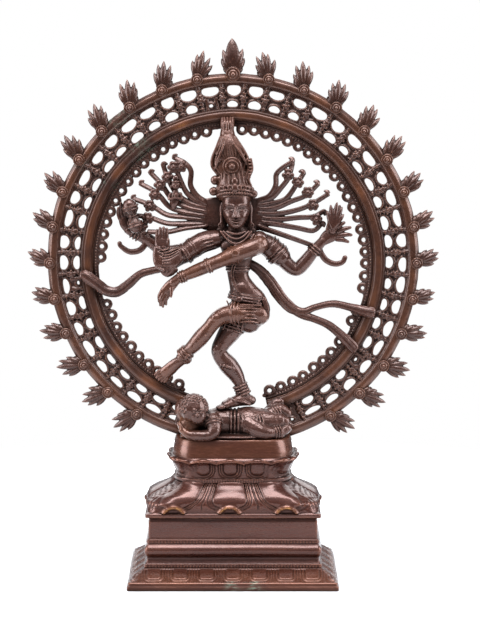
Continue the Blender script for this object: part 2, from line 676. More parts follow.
def build_flame(index, step):
    """Palmette flame: a leaning fan of pointed fingers over a disc that laps on to the rim."""
    rng = random.Random(100 + index)
    apex = step == 0
    turn = step * FLAME_PITCH
    lean = 0.0 if apex else -copysign(27.0, step)
    spin = radians(turn + lean)
    along = np.array([sin(spin), 0, cos(spin)])
    across = np.array([cos(spin), 0, -sin(spin)])
    root = on_arch(128.6 if apex else 127.2, turn)
    back = 1.0 if step <= 0 else -1.0
    # flames are a little longer except at the arch's widest part
    sideways = abs(sin(radians(turn)))
    reach = 1.0 + 0.16 * within((0.97 - sideways) / 0.12)
    clay = Clay()

    def spot(u, v, y):
        return root + across * u + along * v + np.array([0, y, 0])

    # each finger's lean from the middle in degrees, its length and its half width
    if apex:
        lobes = ((0, 25.1, 4.6), (27, 19.6, 2.5), (-27, 19.2, 2.5), (44, 15.2, 2.3), (-44, 15.0, 2.3),
                 (64, 10.8, 2.0), (-64, 10.8, 2.0))
    else:
        lobes = ((0, 18.3, 2.3), (17, 16.9, 1.9), (-17, 16.6, 1.9), (34, 14.0, 1.9), (-33, 13.2, 1.8),
                 (back * 50, 10.6, 1.7))
    for angle, length, size in lobes:
        angle = radians(angle + rng.uniform(-3, 3))
        length *= 0.975 if apex else rng.uniform(0.92, 0.98) * reach
        bend = -copysign(min(abs(angle), 1) * 2.8, angle)
        rows = []
        for part, fat in ((0.06, 0.75), (0.32, 0.95), (0.6, 1.05), (0.85, 0.72), (1.0, 0.18)):
            u = sin(angle) * length * part + bend * part * part
            v = 0.4 + cos(angle) * length * part
            y = -0.6 - 1.3 * sin(pi * min(part + 0.1, 1)) + 0.6 * abs(angle)
            rows.append((*spot(u, v, y), size * fat, min(size, 2.6) * fat))
        clay.tube(rows, steps=4, sides=10)
        vein = [(x, y - deep * 0.85, z, 0.45) for x, y, z, _, deep in rows[1:4]]
        clay.tube(vein, steps=3, sides=6)
    palm = ((-1, 3.0, 1.6), (5, 4.8, 1.2), (9.5, 4.0, 0.9))
    clay.tube([(*spot(0, v, 0.4), wide, deep) for v, wide, deep in palm], sides=12)
    grow = 1.25 if apex else 1.0
    disc = spot(0, 0.6 if apex else 0.9, -3.9)
    clay.ball(disc, (3.9 * grow, 1.6, 3.9 * grow))
    clay.hoop(disc + [0, -0.6, 0], FORWARD, 3.5 * grow, 0.75, count=28)
    clay.hoop(disc + [0, -1.3, 0], FORWARD, 1.9 * grow, 0.5, count=20)
    clay.ball(disc + [0, -1.6, 0], (1.0 * grow, 0.8, 1.0 * grow))
    clay.tube([(*spot(0, 0.5, -3.4), 2.6), (*spot(0, 2.2, -0.4), 2.6)], sides=10)
    clay.cast(f"flame_{index:02d}_leaf", "arch_brass", f"flame_{index:02d}", voxel=0.34, soften=2,
              rub=lambda place: 0.2 * near(np.linalg.norm(place - disc), 0.0, 3.6))


def build_feet():
    """Solid ends of the arch down to the pedestal, with their tangs 30 mm from the middle."""
    for side, name in ((-1, "arch_foot_left"), (1, "arch_foot_right")):
        clay = Clay()
        for turn in (161.6, 164.6):
            clay.tube([(*on_arch(radius, side * turn), 3.0, 2.3) for radius in (99, 106, 113, 120, 125)])
        heel = ((27, 105.4, 5.0), (34, 105.2, 4.6), (41, 106.4, 3.8))
        clay.tube([(side * x, 0, z, wide, 3.2) for x, z, wide in heel])
        clay.tube([(side * 30, 0, 106, 3.9, 1.9), (side * 30, 0, 93.6, 3.9, 1.9)])
        for radius in (104, 110, 116, 122):
            clay.ball(on_arch(radius, side * 162.4, -2.0), (2.4, 1.4, 2.0))
        clay.cast(name + "_casting", "arch_brass", name, voxel=0.42)


# ---------------------------------------------------------------- pedestal


def rounded_outline(half_x, half_y, corner, counts):
    """Points round a rounded rectangle from the front's middle, anticlockwise from above.

    counts are the points along half a front, a corner and a whole end.
    """
    front, arc, end = counts
    corner = min(corner, half_x * 0.95, half_y * 0.95)
    quarter = []
    for i in range(front):
        quarter.append(((half_x - corner) * i / front, -half_y))
    for i in range(arc):
        a = -pi / 2 + pi / 2 * i / arc
        quarter.append((half_x - corner + corner * cos(a), -half_y + corner + corner * sin(a)))
    for i in range(end):
        quarter.append((half_x, (-half_y + corner) * (1 - i / end)))
    half = quarter + [(x, -y) for x, y in quarter[:0:-1] + quarter[:1]]
    half.insert(len(quarter), (half_x, 0.0))
    whole = half + [(-x, y) for x, y in half[-2:0:-1]]
    return np.array(whole)


def moulded(name, levels, carved, counts, relief, node, cap=True):
    """Pedestal casting: levels are (z, half_x, half_y, corner), round the outside and the hollow.

    relief(x, y, z) gives a point's outward shift and how rubbed it is, on the carved levels only.
    Without a cap the first and last levels are joined to each other.
    """
    rings, worn = [], []
    drift = np.gradient(np.array(levels)[:, :2], axis=0)
    drift /= np.maximum(np.linalg.norm(drift, axis=1), 1e-9)[:, None]
    for k, (z, half_x, half_y, corner) in enumerate(levels):
        outline = rounded_outline(half_x, half_y, corner, counts)
        sideways, upward = abs(drift[k, 0]), -drift[k, 1]
        ahead = np.roll(outline, -1, axis=0) - np.roll(outline, 1, axis=0)
        away = np.stack([ahead[:, 1], -ahead[:, 0]], 1) / np.linalg.norm(ahead, axis=1)[:, None]
        shifts = np.array([relief(x, y, z) if k in carved else (0.0, 0.0) for x, y in outline])
        outline = outline + away * shifts[:, :1] * sideways
        rings.append(np.column_stack([outline, z + shifts[:, 0] * upward]))
        worn += list(shifts[:, 1])
    clay = Clay()
    clay.loops(rings)
    if not cap:
        count = len(rings[0])
        clay.faces = clay.faces[:-2] + band((len(rings) - 1) * count, 0, count)
    new_piece(name, np.vstack(clay.verts), clay.faces, "pedestal_brass", node, rub=worn)


def along_side(x, y, half_x, half_y):
    """(distance along the nearest side from its middle, half length, True on a front or back)."""
    on_front = abs(y) / half_y > abs(x) / half_x
    return (x, half_x, True) if on_front else (y, half_y, False)


def levels_between(profile, step, fine_step=None, fine_zones=()):
    """Profile corners joined by runs of about the given step, in mm, finer within some heights."""
    out = [profile[0]]
    for first, second in zip(profile, profile[1:]):
        first, second = np.array(first), np.array(second)
        middle = (first[0] + second[0]) / 2
        size = fine_step if any(low < middle < high for low, high in fine_zones) else step
        parts = max(1, int(round(np.linalg.norm((second - first)[:3]) / size)))
        out += [tuple(first + (second - first) * (i + 1) / parts) for i in range(parts)]
    return out


PLINTH_CORNERS = [  # (height, half width, half depth, corner radius), from the foot up
    (0.2, 73.6, 52.6, 1.2), (2.8, 73.7, 52.7, 1.4), (3.3, 72.8, 51.7, 1.4), (5.2, 72.7, 51.6, 1.4),
    (5.7, 71.9, 50.7, 1.2), (8.6, 68.3, 45.9, 1.2), (12.2, 62.8, 39.2, 1.2), (12.7, 62.2, 38.4, 1.2),
    (15.2, 62.1, 38.3, 1.2), (15.7, 61.1, 37.0, 1.2), (18.2, 60.2, 35.8, 1.2), (20.4, 60.3, 35.9, 1.4),
    (21.4, 61.1, 36.9, 2.2), (23.0, 61.9, 37.8, 2.8), (24.8, 62.1, 38.1, 3.0), (26.6, 61.8, 37.8, 2.8),
    (28.0, 60.9, 36.8, 2.0), (28.8, 60.2, 36.0, 1.4), (29.4, 60.1, 35.7, 1.2), (32.2, 60.1, 35.7, 1.2),
    (32.8, 59.2, 34.6, 1.4), (46.6, 59.1, 34.5, 1.6), (48.0, 59.1, 34.5, 1.6),
]
PLINTH_INSIDE = [
    (48.0, 37.0, 15.0, 2.0), (44.0, 37.0, 15.0, 2.0), (44.0, 55.0, 30.0, 2.0), (10.0, 55.0, 30.0, 2.0),
    (10.0, 60.0, 36.0, 2.0), (0.2, 60.0, 36.0, 2.0),
]


SLOPE_FOOT, SLOPE_TOP = 5.9, 12.3  # heights between which the plinth's slope is engraved
BEADED_LINES = (13.9, 30.8)
PLINTH_PETALS = {True: 7, False: 5}  # on a front or back, and on an end


def plinth_relief(x, y, z):
    """Engraved petals on the slope, two beaded lines and knocks along the faces."""
    if z < 0.5 or z > 47.5:
        return 0.0, 0.0
    run, half, front = along_side(x, y, 60.0, 38.0)
    out = 0.3 * waver(x * 0.04, y * 0.04, z * 0.1)
    out += 0.03 * waver(x * 0.2, y * 0.2, z * 0.3)
    if SLOPE_FOOT < z < SLOPE_TOP:
        slope_length, margin, round_off = 12.0, 2.6, 3.2
        pitch = 2 * (half + 4.5) / PLINTH_PETALS[front]
        across = abs((run / pitch + 0.5) % 1.0 - 0.5) * pitch
        rise = (z - SLOPE_FOOT) / (SLOPE_TOP - SLOPE_FOOT) * slope_length
        side_gap = max(across - pitch * 0.29 + round_off, 0.0)
        foot_gap = max(margin + round_off - rise, 0.0)
        away = hypot(side_gap, foot_gap) - round_off
        out -= 0.56 * near(away, 0.0, 0.5) + 0.48 * near(away, 2.0, 0.45)
        out -= 0.42 * near(across, pitch * 0.5, 0.4)
    out -= 0.8 * near(z, 46.5, 0.5)
    for height in BEADED_LINES:
        if abs(z - height) < 1.2:
            out += 0.8 * abs(sin(pi * run / 2.2)) * near(z, height, 0.8) - 0.35
    handled = 0.14 * near(z, 7.0, 5.0)
    green = 0.9 * (near(x, 14, 6) + near(x, -1, 4)) if y < -44 and z < 6.5 else 0.0
    return out, handled - green


def build_plinth():
    """Hollow stepped plinth."""
    engraved = ((5.5, 15.4), (29.3, 32.4))
    outside = levels_between(PLINTH_CORNERS, 1.0 * DETAIL, 0.4 * DETAIL, engraved)
    fine = int(128 / DETAIL)
    moulded("plinth_casting", outside + PLINTH_INSIDE, range(len(outside)), (fine, 4, int(fine * 1.1)),
            plinth_relief, "plinth", cap=False)


# the lotus pedestal's parts from the foot up: (height, half width, half depth, corner radius)
LOTUS_LIP = [(48.0, 61.0, 35.8, 1.5), (48.3, 61.5, 36.2, 1.5), (50.4, 61.5, 36.2, 2.0),
             (50.9, 60.9, 35.8, 3.0)]
LOTUS_BULGE = [
    (51.4, 59.9, 35.0, 7.0), (53.0, 60.2, 35.3, 10.5), (55.5, 60.8, 35.9, 14.5), (58.5, 60.0, 35.6, 17.5),
    (61.2, 57.0, 34.2, 19.5), (64.0, 51.8, 31.8, 20.5), (66.4, 47.0, 29.4, 20.8), (68.6, 43.4, 27.6, 20.8),
    (70.2, 41.8, 26.8, 20.4), (70.9, 41.0, 26.4, 20.0),
]
LOTUS_WAIST = [(71.3, 41.5, 26.8, 20.0), (73.5, 41.5, 26.8, 20.0)]
LOTUS_CUP = [
    (74.0, 40.3, 25.8, 19.0), (76.5, 40.6, 26.0, 19.2), (80.0, 41.6, 26.9, 20.0), (83.4, 43.2, 28.1, 21.0),
    (86.0, 45.0, 29.5, 22.0), (87.6, 45.6, 30.1, 22.0), (88.4, 45.0, 29.6, 22.0), (88.7, 42.5, 28.6, 20.5),
]
LOTUS_DRUM = [
    (92.6, 42.2, 28.3, 20.2), (96.8, 41.4, 27.8, 19.8), (100.6, 40.3, 27.2, 19.3),
    (101.5, 39.6, 26.7, 19.0),
]
LOTUS_TOP = [
    (101.9, 38.6, 25.9, 18.6), (102.0, 30.0, 20.0, 15.0), (102.0, 20.0, 13.0, 10.0), (102.0, 8.0, 5.0, 4.0),
]
LOTUS_INSIDE = [  # from the top of the hollow down
    (98.0, 10.0, 6.0, 4.0), (98.0, 34.0, 20.8, 15.0), (66.5, 35.6, 20.9, 15.0), (66.0, 38.0, 23.0, 15.0),
    (48.0, 53.0, 29.0, 8.0),
]


PETAL_FOOT, PETAL_TOP = 51.2, 70.8  # heights of the hanging petals
CUP_FOOT, CUP_TOP = 74.2, 88.6  # heights of the cupped petals
DRUM_FOOT = 88.8


def lotus_relief(x, y, z):
    """Broad hanging petals with engraved outlines and curled lips below; cupped petals above."""
    run, _, front = along_side(x, y, 60.0, 36.0)
    out = 0.16 * waver(x * 0.06, y * 0.06, z * 0.1)
    out += 0.04 * waver(x * 0.2, y * 0.2, z * 0.25)
    rub = 0.0
    if PETAL_FOOT < z < PETAL_TOP:
        narrow = 1.0 - 0.30 * max(0.0, (z - 57.0) / 14.0)
        spread = run / narrow
        if front:
            centres = (-41.5, -2.5, 37.5) if y < 0 else (-40.0, 0.0, 40.0)
        else:
            centres = (0.0,)
        beside = min((spread - centre for centre in centres), key=abs)
        below = min(z - 62.5, 0.0)
        metric = hypot(beside / 13.2, below / 8.4)
        out += 1.7 * max(0.0, 1.0 - metric ** 2)
        for ring, deep in ((1.03, 0.85), (1.15, 0.7), (1.28, 0.75)):
            out -= deep * near(metric, ring, 0.042) * (1.0 if z > 53.5 else 0.3)
        filler = within((abs(beside) - 17.6) / 1.4) * within((z - 52.5) / 2.0)
        out -= filler * 0.75 * near(sin(pi * (abs(beside) - 19.5) / 2.6), 0.0, 0.3)
        lip = abs(hypot(beside / 6.8, (z - 51.0) / 4.6) - 1.0)
        if z > 51.3 and abs(beside) < 9.5:
            out += 2.1 * near(lip, 0.0, 0.26)
            patchy = waver(x * 0.5, y * 0.5, z * 0.5)
            rub = 0.85 * near(lip, 0.0, 0.2) * (0.7 + 0.6 * patchy)
        corner = within((abs(x) / 59.0 + abs(y) / 35.0 - 1.55) / 0.25)
        if corner > 0:
            out += corner * (0.6 + 0.35 * cos(2 * pi * (z - 52) / 5.2)) * near(z, 57.0, 5.0)
    if z < 51.0:
        rub = 0.25 * near(z, 48.6, 0.7) * max(0.0, waver(x * 0.12, y * 0.12, 3.0) + 0.3)
    if 71.2 < z < 73.6:
        out += 0.5 * abs(sin(pi * run / 1.8)) - 0.3
    if CUP_FOOT < z < CUP_TOP:
        pitch = 19.0 if front else 17.0
        beside = abs(((run + 2.0) / pitch + 0.5) % 1.0 - 0.5) * pitch
        metric = hypot(beside / 4.6, min(z - 79.5, 0.0) / 3.4)
        below_lip = within((86.0 - z) / 1.5)
        out += 0.9 * max(0.0, 1.0 - metric ** 2)
        for ring in (1.08, 1.45, 1.8):
            out -= 0.6 * below_lip * near(metric, ring, 0.11)
        lip = 87.2 - 2.4 * (2 * beside / pitch) ** 2
        out += 0.75 * near(z, lip, 0.9) - 1.3 * within((z - lip - 0.7) / 0.9)
        rub = 0.3 * near(z, lip, 0.6) * max(0.0, waver(x * 0.2, y * 0.2, 8.0) + 0.2)
    if z > DRUM_FOOT:
        rub = 0.13
    return out, within(rub)


def build_lotus():
    """Hollow double-lotus pedestal."""
    smooth_steps = max(2, int(6 / DETAIL))
    outside = levels_between(LOTUS_LIP + LOTUS_BULGE[:1], 0.5 * DETAIL)[:-1]
    outside += [tuple(row) for row in spline_rows(LOTUS_BULGE, smooth_steps)]
    outside += levels_between(LOTUS_WAIST + LOTUS_CUP[:1], 0.4 * DETAIL)[:-1]
    outside += [tuple(row) for row in spline_rows(LOTUS_CUP, smooth_steps)]
    outside += levels_between(LOTUS_CUP[-1:] + LOTUS_DRUM, 0.6 * DETAIL)[1:]
    first = len(LOTUS_INSIDE)
    fine = max(70, int(112 / DETAIL))
    moulded("lotus_casting", LOTUS_INSIDE + outside + LOTUS_TOP, range(first, first + len(outside)),
            (fine, 30, int(fine * 0.55)), lotus_relief, "lotus_pedestal")


# ---------------------------------------------------------------- the dancer


def build_torso():
    """Hips, waist, chest and shoulders, with belt, short cloth, thread and necklaces."""
    clay = Clay(FIGURE_Y)
    # trunk from the hips to the neck, then chest, belly, shoulders and the slope from the neck
    clay.tube([(9, 0, 183, 10.5, 8), (11.5, 0, 190, 13.8, 9.2), (10.6, 0, 197, 12.8, 8.8),
               (7.2, -0.4, 205, 9.6, 7.8), (4.2, -0.2, 213, 7.4, 6.2), (3.4, 0, 219, 7.8, 6.4),
               (3.4, 0, 227, 9.8, 7.4), (3.8, 0, 235, 12.6, 7.9), (3.6, 0, 241, 12.6, 7),
               (2.6, 0, 245.5, 8, 5.4)], sides=26)
    clay.ball((-3, -4.6, 236.6), (6, 3.9, 4.8))
    clay.ball((9.6, -4.6, 237.2), (6, 3.9, 4.8))
    clay.ball((5.6, -4.2, 206), (6.4, 4.4, 6.6))
    clay.ball((-11.2, 0, 241.6), (6, 5.8, 5.6))
    clay.ball((18.2, 0, 241), (6.2, 5.8, 5.8))
    clay.ball((-6.6, 3.4, 246.4), (5.6, 3.2, 4.4))
    clay.ball((11, 3.4, 246.4), (5.6, 3.2, 4.4))
    clay.tube([(2, 0, 244, 5.6), (1.8, -0.8, 250, 4.9)])
    clay.ball((19.5, 3, 191), (6.6, 6.6, 8.6))
    clay.ball((1.6, 3.4, 190), (6.6, 6.2, 7.6))
    # belt of three cords with a clasp, and the loops of cloth that hang from it
    for lift, wide in ((0, 0.8), (2, 1), (4, 0.75)):
        clay.hoop((9.8, 0, 198.2 + lift), (0.16, 0, 1), (13.3 - lift * 0.35, 9.4 - lift * 0.12), wide)
    clay.ball((4.2, -9.6, 199.6), (2.5, 1.4, 2.4))
    for x, drop in ((-1.5, 4.5), (9.5, 5), (15.5, 4.4)):
        arc = [(x - 2.8, -8.6, 198.6, 0.55), (x, -9.6, 198.6 - drop, 0.65), (x + 2.8, -8.4, 198.6, 0.55)]
        clay.tube(arc, sides=8)
    clay.tube([(21.6, -6.2, 200, 1.7, 0.9), (23.4, -6.4, 193, 2, 1), (22.4, -6.2, 186.4, 2.7, 0.9)])
    for shift in (-1, 0.2, 1.4):
        clay.tube([(21.6 + shift, -7.3, 199, 0.35), (23.2 + shift, -7.6, 192, 0.4),
                   (22.3 + shift * 1.4, -7.1, 186.6, 0.35)], sides=6)
    for k in range(6):
        low = 184.6 + 2.1 * k
        clay.tube([(1.5 + 1.2 * k, -7.4, low + 2, 0.4), (10 + 0.6 * k, -9.6, low, 0.5),
                   (18.5 + 0.3 * k, -8.2, low + 1.6, 0.4)], sides=6)
    # belly band, sacred thread and necklaces
    clay.hoop((3.4, 0, 219.6), (0, 0.05, 1), (8, 6.7), 0.75)
    clay.hoop((3.4, 0, 221.4), (0, 0.05, 1), (8.3, 6.9), 0.5)
    thread = [(14.5, -6.4, 245, 0.6), (10, -9.2, 238, 0.65), (3, -8.6, 229, 0.6), (-1, -7, 221, 0.55),
              (-0.5, -6.6, 213, 0.55), (3.5, -8.6, 205, 0.55)]
    clay.tube(thread, sides=8)
    clay.tube([(x + 1.5, y - 0.1, z - 0.8, r * 0.7) for x, y, z, r in thread], sides=8)
    for drop, reach, wide in ((1.5, 6, 0.95), (4.8, 8.6, 0.8), (8, 10.6, 0.7)):
        arc = []
        for u in np.linspace(-1, 1, 9):
            arc.append((2.2 + reach * u, -6.2 - 2.6 * (1 - u * u) - drop * 0.14,
                        247.6 - drop * (1 - u * u) - 0.6, wide))
        clay.tube(arc, steps=4, sides=8)
    clay.beads([(2.2 + 9.8 * u, -7.2 - 2.9 * (1 - u * u), 246.2 - 7.6 * (1 - u * u))
                for u in np.linspace(-1, 1, 9)], 1.5, 0.72)
    clay.ball((2.3, -10.4, 236.4), (1.7, 1, 2))
    clay.cast("torso_casting", "figure_brass", "dancer_torso", voxel=0.34)


HEAD_OUTLINE = [  # (height, half width, reach to the front, reach to the back)
    (248.9, 2, 7.2, 0.5), (249.6, 3.7, 8.2, 1.5), (251, 5.3, 8.8, 3), (253, 6.8, 9.1, 5),
    (255.5, 8.1, 9.3, 7), (258.5, 9.1, 9.5, 8.6), (262, 9.6, 9.7, 9.6), (266, 9.7, 9.8, 10),
    (270, 9.4, 9.5, 9.8), (273, 8.6, 8.4, 9), (276, 6.4, 6.2, 6.6),
]


BROW_Z, EYE_Z, NOSE_Z, MOUTH_Z, CHIN_Z = 265, 261.7, 257.7, 254.5, 250.7
EYE_X, HALF_MOUTH = 4.3, 3.5


def face_relief(u, z):
    """How far the features stand forward of a smooth oval, u mm from the face's middle line."""
    side = abs(u)
    bridge = within((265.2 - z) / 7.4)
    foot = 1 if z > NOSE_Z else near(z, NOSE_Z, 0.7)
    top = 1 if z < 264 else near(z, 264, 1.4)
    out = (0.7 + 1.7 * bridge) * near(u, 0, 0.9 + 0.7 * bridge) * foot * top
    out += 0.8 * near(hypot((side - 1.75) / 0.85, (z - NOSE_Z) / 0.75), 0, 1)
    brow = BROW_Z + (1 - ((side - 4.4) / 3.4) ** 2)
    out += 0.75 * near(z, brow, 0.5) * near(max(0, abs(side - 4.5) - 2.8), 0, 0.7)
    out -= 1.1 * near(hypot((side - 4.2) / 3.4, (z - 262.3) / 1.8), 0, 1)
    eye = hypot((side - EYE_X) / 2.8, (z - EYE_Z) / 1.35)
    out += 1.35 * max(0, 1 - eye ** 2)
    if eye < 1:
        out -= 0.6 * near(z, 261.3 + 0.05 * (side - EYE_X) ** 2, 0.3)
    out -= 0.35 * near(eye, 1.3, 0.14) * (1 if z > 261.8 else 0.4)
    out += 0.6 * near(hypot((side - 5.2) / 2.9, (z - 257.4) / 2.8), 0, 1)
    parting = MOUTH_Z + 0.06 * side ** 2
    lips = max(0, 1 - (side / HALF_MOUTH) ** 2)
    out += lips * (0.8 * near(z, parting + 0.85, 0.6) + 0.9 * near(z, parting - 0.85, 0.65))
    out -= 0.7 * min(1, 2 * lips) * near(z, parting, 0.28)
    out -= 0.3 * near(u, 0, 0.5) * near(z, 256.3, 0.5)
    out -= 0.45 * near(hypot(u / 2.4, (z - 252.3) / 0.6), 0, 1)
    out += 0.8 * near(hypot(u / 2.4, (z - CHIN_Z) / 1.3), 0, 1)
    return out


def build_head():
    """Oval face with outline and chin height read off the photo, long lobed ears and small earrings."""
    x = 2.2
    clay = Clay(HEAD_Y)
    rings = []
    for z, wide, ahead, behind in spline_rows(HEAD_OUTLINE, 8):
        ring = []
        for t in around(160, -pi, pi):
            u = wide * copysign(abs(sin(t)) ** 0.92, t)
            front = cos(t) > 0
            deep = (ahead if front else behind) * abs(cos(t)) ** 0.88
            if front:
                deep += face_relief(u, z) * min(1, 2 * cos(t))
            ring.append(clay.at((x + u, -deep if front else deep, z)))
        rings.append(np.array(ring))
    clay.loops(rings)
    clay.tube([(2.4, 2.2, 244, 6.4), (2.2, 1.2, 252, 5.8)])
    for side in (-1, 1):
        ear = [(x + side * 9.7, 0.6, 266.4, 0.9, 1.6), (x + side * 10.3, 0.2, 263, 1.4, 2),
               (x + side * 10.2, -0.4, 258.6, 1.3, 1.8), (x + side * 10, -0.8, 254.6, 1.2, 1.2),
               (x + side * 10.2, -1, 251.8, 1.4, 1.2)]
        clay.tube(ear, sides=10)
        clay.hoop((x + side * 10.3, -1.2, 251), (0.25 * side, 1, 0), (1.5, 1.7), 0.75, count=24)
        clay.ball((x + side * 10.2, -1, 251), 1.1)
    clay.cast("head_casting", "figure_brass", "dancer_head", voxel=0.2, soften=2, rough=0.015)


def build_crown():
    """Piled hair behind a beaded diadem, spreading into a ribbed fan under a fluted tassel."""
    clay = Clay(HEAD_Y)
    clay.tube([(1.7, 2.6, 268.6, 9.4, 8.8), (1.4, 1.8, 272, 12.2, 9.8), (0.9, 1, 276, 12.8, 10.4),
               (0.8, 1.2, 280, 11.8, 9), (0.7, 1.5, 285, 10.4, 7.6), (0, 2, 289, 10.8, 7)], sides=24)
    for lift, grow, wide in ((268.9, 0, 0.85), (273, 2, 0.8), (275.8, 1.6, 0.7)):
        clay.hoop((1.4, 1.2, lift), (0, 0.32, 1), (10.6 + grow, 10.6 + grow * 0.5), wide, count=56)
    ring = [(1.4 + 12.2 * sin(a), 1.2 - 11 * cos(a), 271 + 3.3 * cos(a))
            for a in np.linspace(-1.9, 1.9, 15)]
    clay.beads(ring, 2.1, 1.1)
    for a in np.linspace(-1.5, 1.5, 11):
        base = (1.2 + 12.2 * sin(a), 1.2 - 10.6 * cos(a), 275.4 + 3 * cos(a))
        clay.ball(base, (1.5, 1.2, 2))
    for k in range(9):
        a = -1.25 + 2.5 * k / 8
        clay.tube([(1.2 + 10.8 * sin(a), 1.4 - 9.4 * cos(a), 278, 0.9),
                   (0.8 + 10.2 * sin(a), 1.6 - 8 * cos(a), 284, 0.9),
                   (0.2 + 9.8 * sin(a), 2 - 7.2 * cos(a), 289, 0.8)], sides=8)
    clay.ball((1.4, -10.2, 277.8), (2.4, 1.5, 3))
    clay.ball((1.2, -8.6, 282.2), (2.2, 1.5, 2.8))
    # the fan
    fan = [(-0.6, 2, 287, 9, 6.4), (-1.6, 2, 291, 12.2, 6.6), (-1.9, 2.2, 295.6, 13.4, 6.4),
           (-2.2, 2.6, 301, 11.6, 5.8), (-2.8, 3.4, 306.6, 8.6, 5.2), (-3.7, 4.8, 312, 5.8, 4.6),
           (-3.9, 5.8, 315, 5, 4.4)]
    clay.tube(fan, sides=26)
    for k in range(11):
        a = -1 + 2 * k / 10
        rows = [(-1.2 + 6 * sin(a * 1.2), -3.6, 296, 0.6), (-1.8 + 9.6 * a, -3.3 + 2.4 * a * a, 301, 0.75),
                (-3 + 6.2 * a, -1.9 + 1.8 * a * a, 307.4, 0.65),
                (-3.8 + 3.6 * a, 0.4 + 1.2 * a * a, 313, 0.5)]
        clay.tube(rows, sides=8)
    for side in (-1, 1):
        rim = [(-1 + side * 9.6, -0.6, 286.6, 1.2), (-1.8 + side * 12.4, -0.9, 292, 1.3),
               (-2 + side * 12.2, -0.8, 297.6, 1.2), (-2.6 + side * 8.8, 0.2, 305, 1),
               (-3.8 + side * 5, 2, 312.2, 0.8)]
        clay.tube(rim, sides=10)
        clay.tube([(x - side * 2.6, y - 1.6, z, r * 0.6) for x, y, z, r in rim], sides=8)
    for radius, thick, lift in ((5.8, 0.9, 0.4), (3.9, 0.75, -0.9)):
        clay.hoop((-0.6, -5.4 + lift, 292.2), FORWARD, radius, thick, count=36)
    clay.ball((-0.6, -5, 292.2), (5.4, 1.8, 5.4))
    clay.ball((-0.6, -7, 292.2), (2.1, 1.5, 2.1))
    clay.ball((-9.6, -3.2, 296.4), (1.9, 1.6, 1.9))
    for first, last in (((-12, 291), (-6.4, 307)), ((10.8, 292), (0.6, 308))):
        middle = ((first[0] + last[0]) / 2, (first[1] + last[1]) / 2)
        clay.tube([(first[0], -2.2, first[1], 0.9), (middle[0], -4.6, middle[1] + 0.6, 1),
                   (last[0], -3.2, last[1], 0.8)], sides=8)
    for shift in (0, 2.4):
        clay.tube([(12.4 - shift, -2.6, 297, 1), (13.2 - shift, -3, 290, 1.1),
                   (10.8 - shift, -4.4, 283.6, 1.1), (12.4 - shift, -4.6, 278.6, 1.1)], sides=8)
    for lift in np.linspace(280, 296, 8):
        clay.ball((12 - abs(lift - 290) * 0.12, -4.2, lift), (1.1, 0.9, 0.8))
    # side knobs, tassel and the bracket that meets the arch
    clay.ball((-12.4, 0, 282.3), (3.2, 3, 3.4))
    clay.ball((-13.4, 0, 274.6), (3.2, 3, 3.2))
    clay.ball((-9, 0, 283), (3.4, 2.6, 2.6))
    clay.ball((14.6, 0, 272.8), (2.6, 2.6, 2.8))
    clay.hoop((-3.9, 6, 314.6), (0, 0.1, 1), (4.4, 4.2), 0.8)
    for a in around(12):
        clay.tube([(-3.9 + 3.4 * cos(a), 6 + 3.3 * sin(a), 314, 0.85),
                   (-3.9 + 3.9 * cos(a), 6.6 + 3.6 * sin(a), 321, 1.1),
                   (-3.9 + 4.2 * cos(a), 8.6 + 2.4 * sin(a), 325, 1)], sides=8)
    clay.tube([(-3.9, 6, 313.5, 4), (-3.9, 6.4, 318.2, 3.4)])
    clay.cast("crown_casting", "figure_brass", "crown", voxel=0.28, soften=2, rough=0.03,
              rub=lambda place: 0.08)


# each lock of hair on one side as it leaves the head and curls out to its tip: (x, z)
LEFT_LOCKS = [
    [(-20, 267), (-25.4, 271), (-29.8, 278.5), (-29.4, 288), (-33.4, 293.6), (-40.2, 297)],
    [(-20, 265.5), (-27, 268.6), (-33, 274), (-38.4, 286), (-39.6, 292)],
    [(-20, 263.4), (-30, 266), (-39, 272), (-45.4, 283), (-48.6, 292)],
    [(-20, 260.6), (-31, 263), (-42, 268), (-50, 279), (-57, 286.4)],
    [(-20, 257.6), (-32, 259.4), (-44, 263), (-53.3, 273), (-63.6, 278.8)],
    [(-20, 254.6), (-33, 256), (-46, 257.6), (-57, 264), (-69, 268.6)],
    [(-20, 251.6), (-33, 251.4), (-46, 251.6), (-58, 255.6), (-68, 257)],
    [(-20, 250), (-33, 248.4), (-46, 245.4), (-58, 245.6)],
]
RIGHT_LOCKS = [
    [(18, 268), (25, 271), (29.4, 278), (30, 286), (34.8, 291), (40.6, 294.6)],
    [(18, 266.6), (27, 270), (34, 277.6), (38.6, 284), (41, 292.5)],
    [(18, 264), (28, 266), (37, 269.4), (43.4, 278), (48.6, 286)],
    [(18, 261.4), (29, 262.6), (41, 267.6), (50.6, 271.4), (58.4, 278.6)],
    [(18, 258.6), (30, 258.6), (42, 260.7), (53, 264.4), (65.2, 271.6)],
    [(18, 255.6), (30, 254.6), (45, 256), (56, 256.6), (62.6, 260)],
    [(18, 252.6), (30, 251.4), (45, 248.8), (56, 246.8), (61.6, 251.6)],
    [(18, 249.6), (29, 246), (42, 241.4), (55, 236.6)],
]
LEFT_ROSETTES = [(-36, 291.5), (-41.4, 291), (-45.4, 284), (-51, 278.2), (-54.3, 272), (-58, 264),
                 (-59.5, 255.4)]
RIGHT_ROSETTES = [(38.3, 286), (45.2, 280.5), (52.1, 273.4), (55.6, 264.6), (58.1, 254.6)]


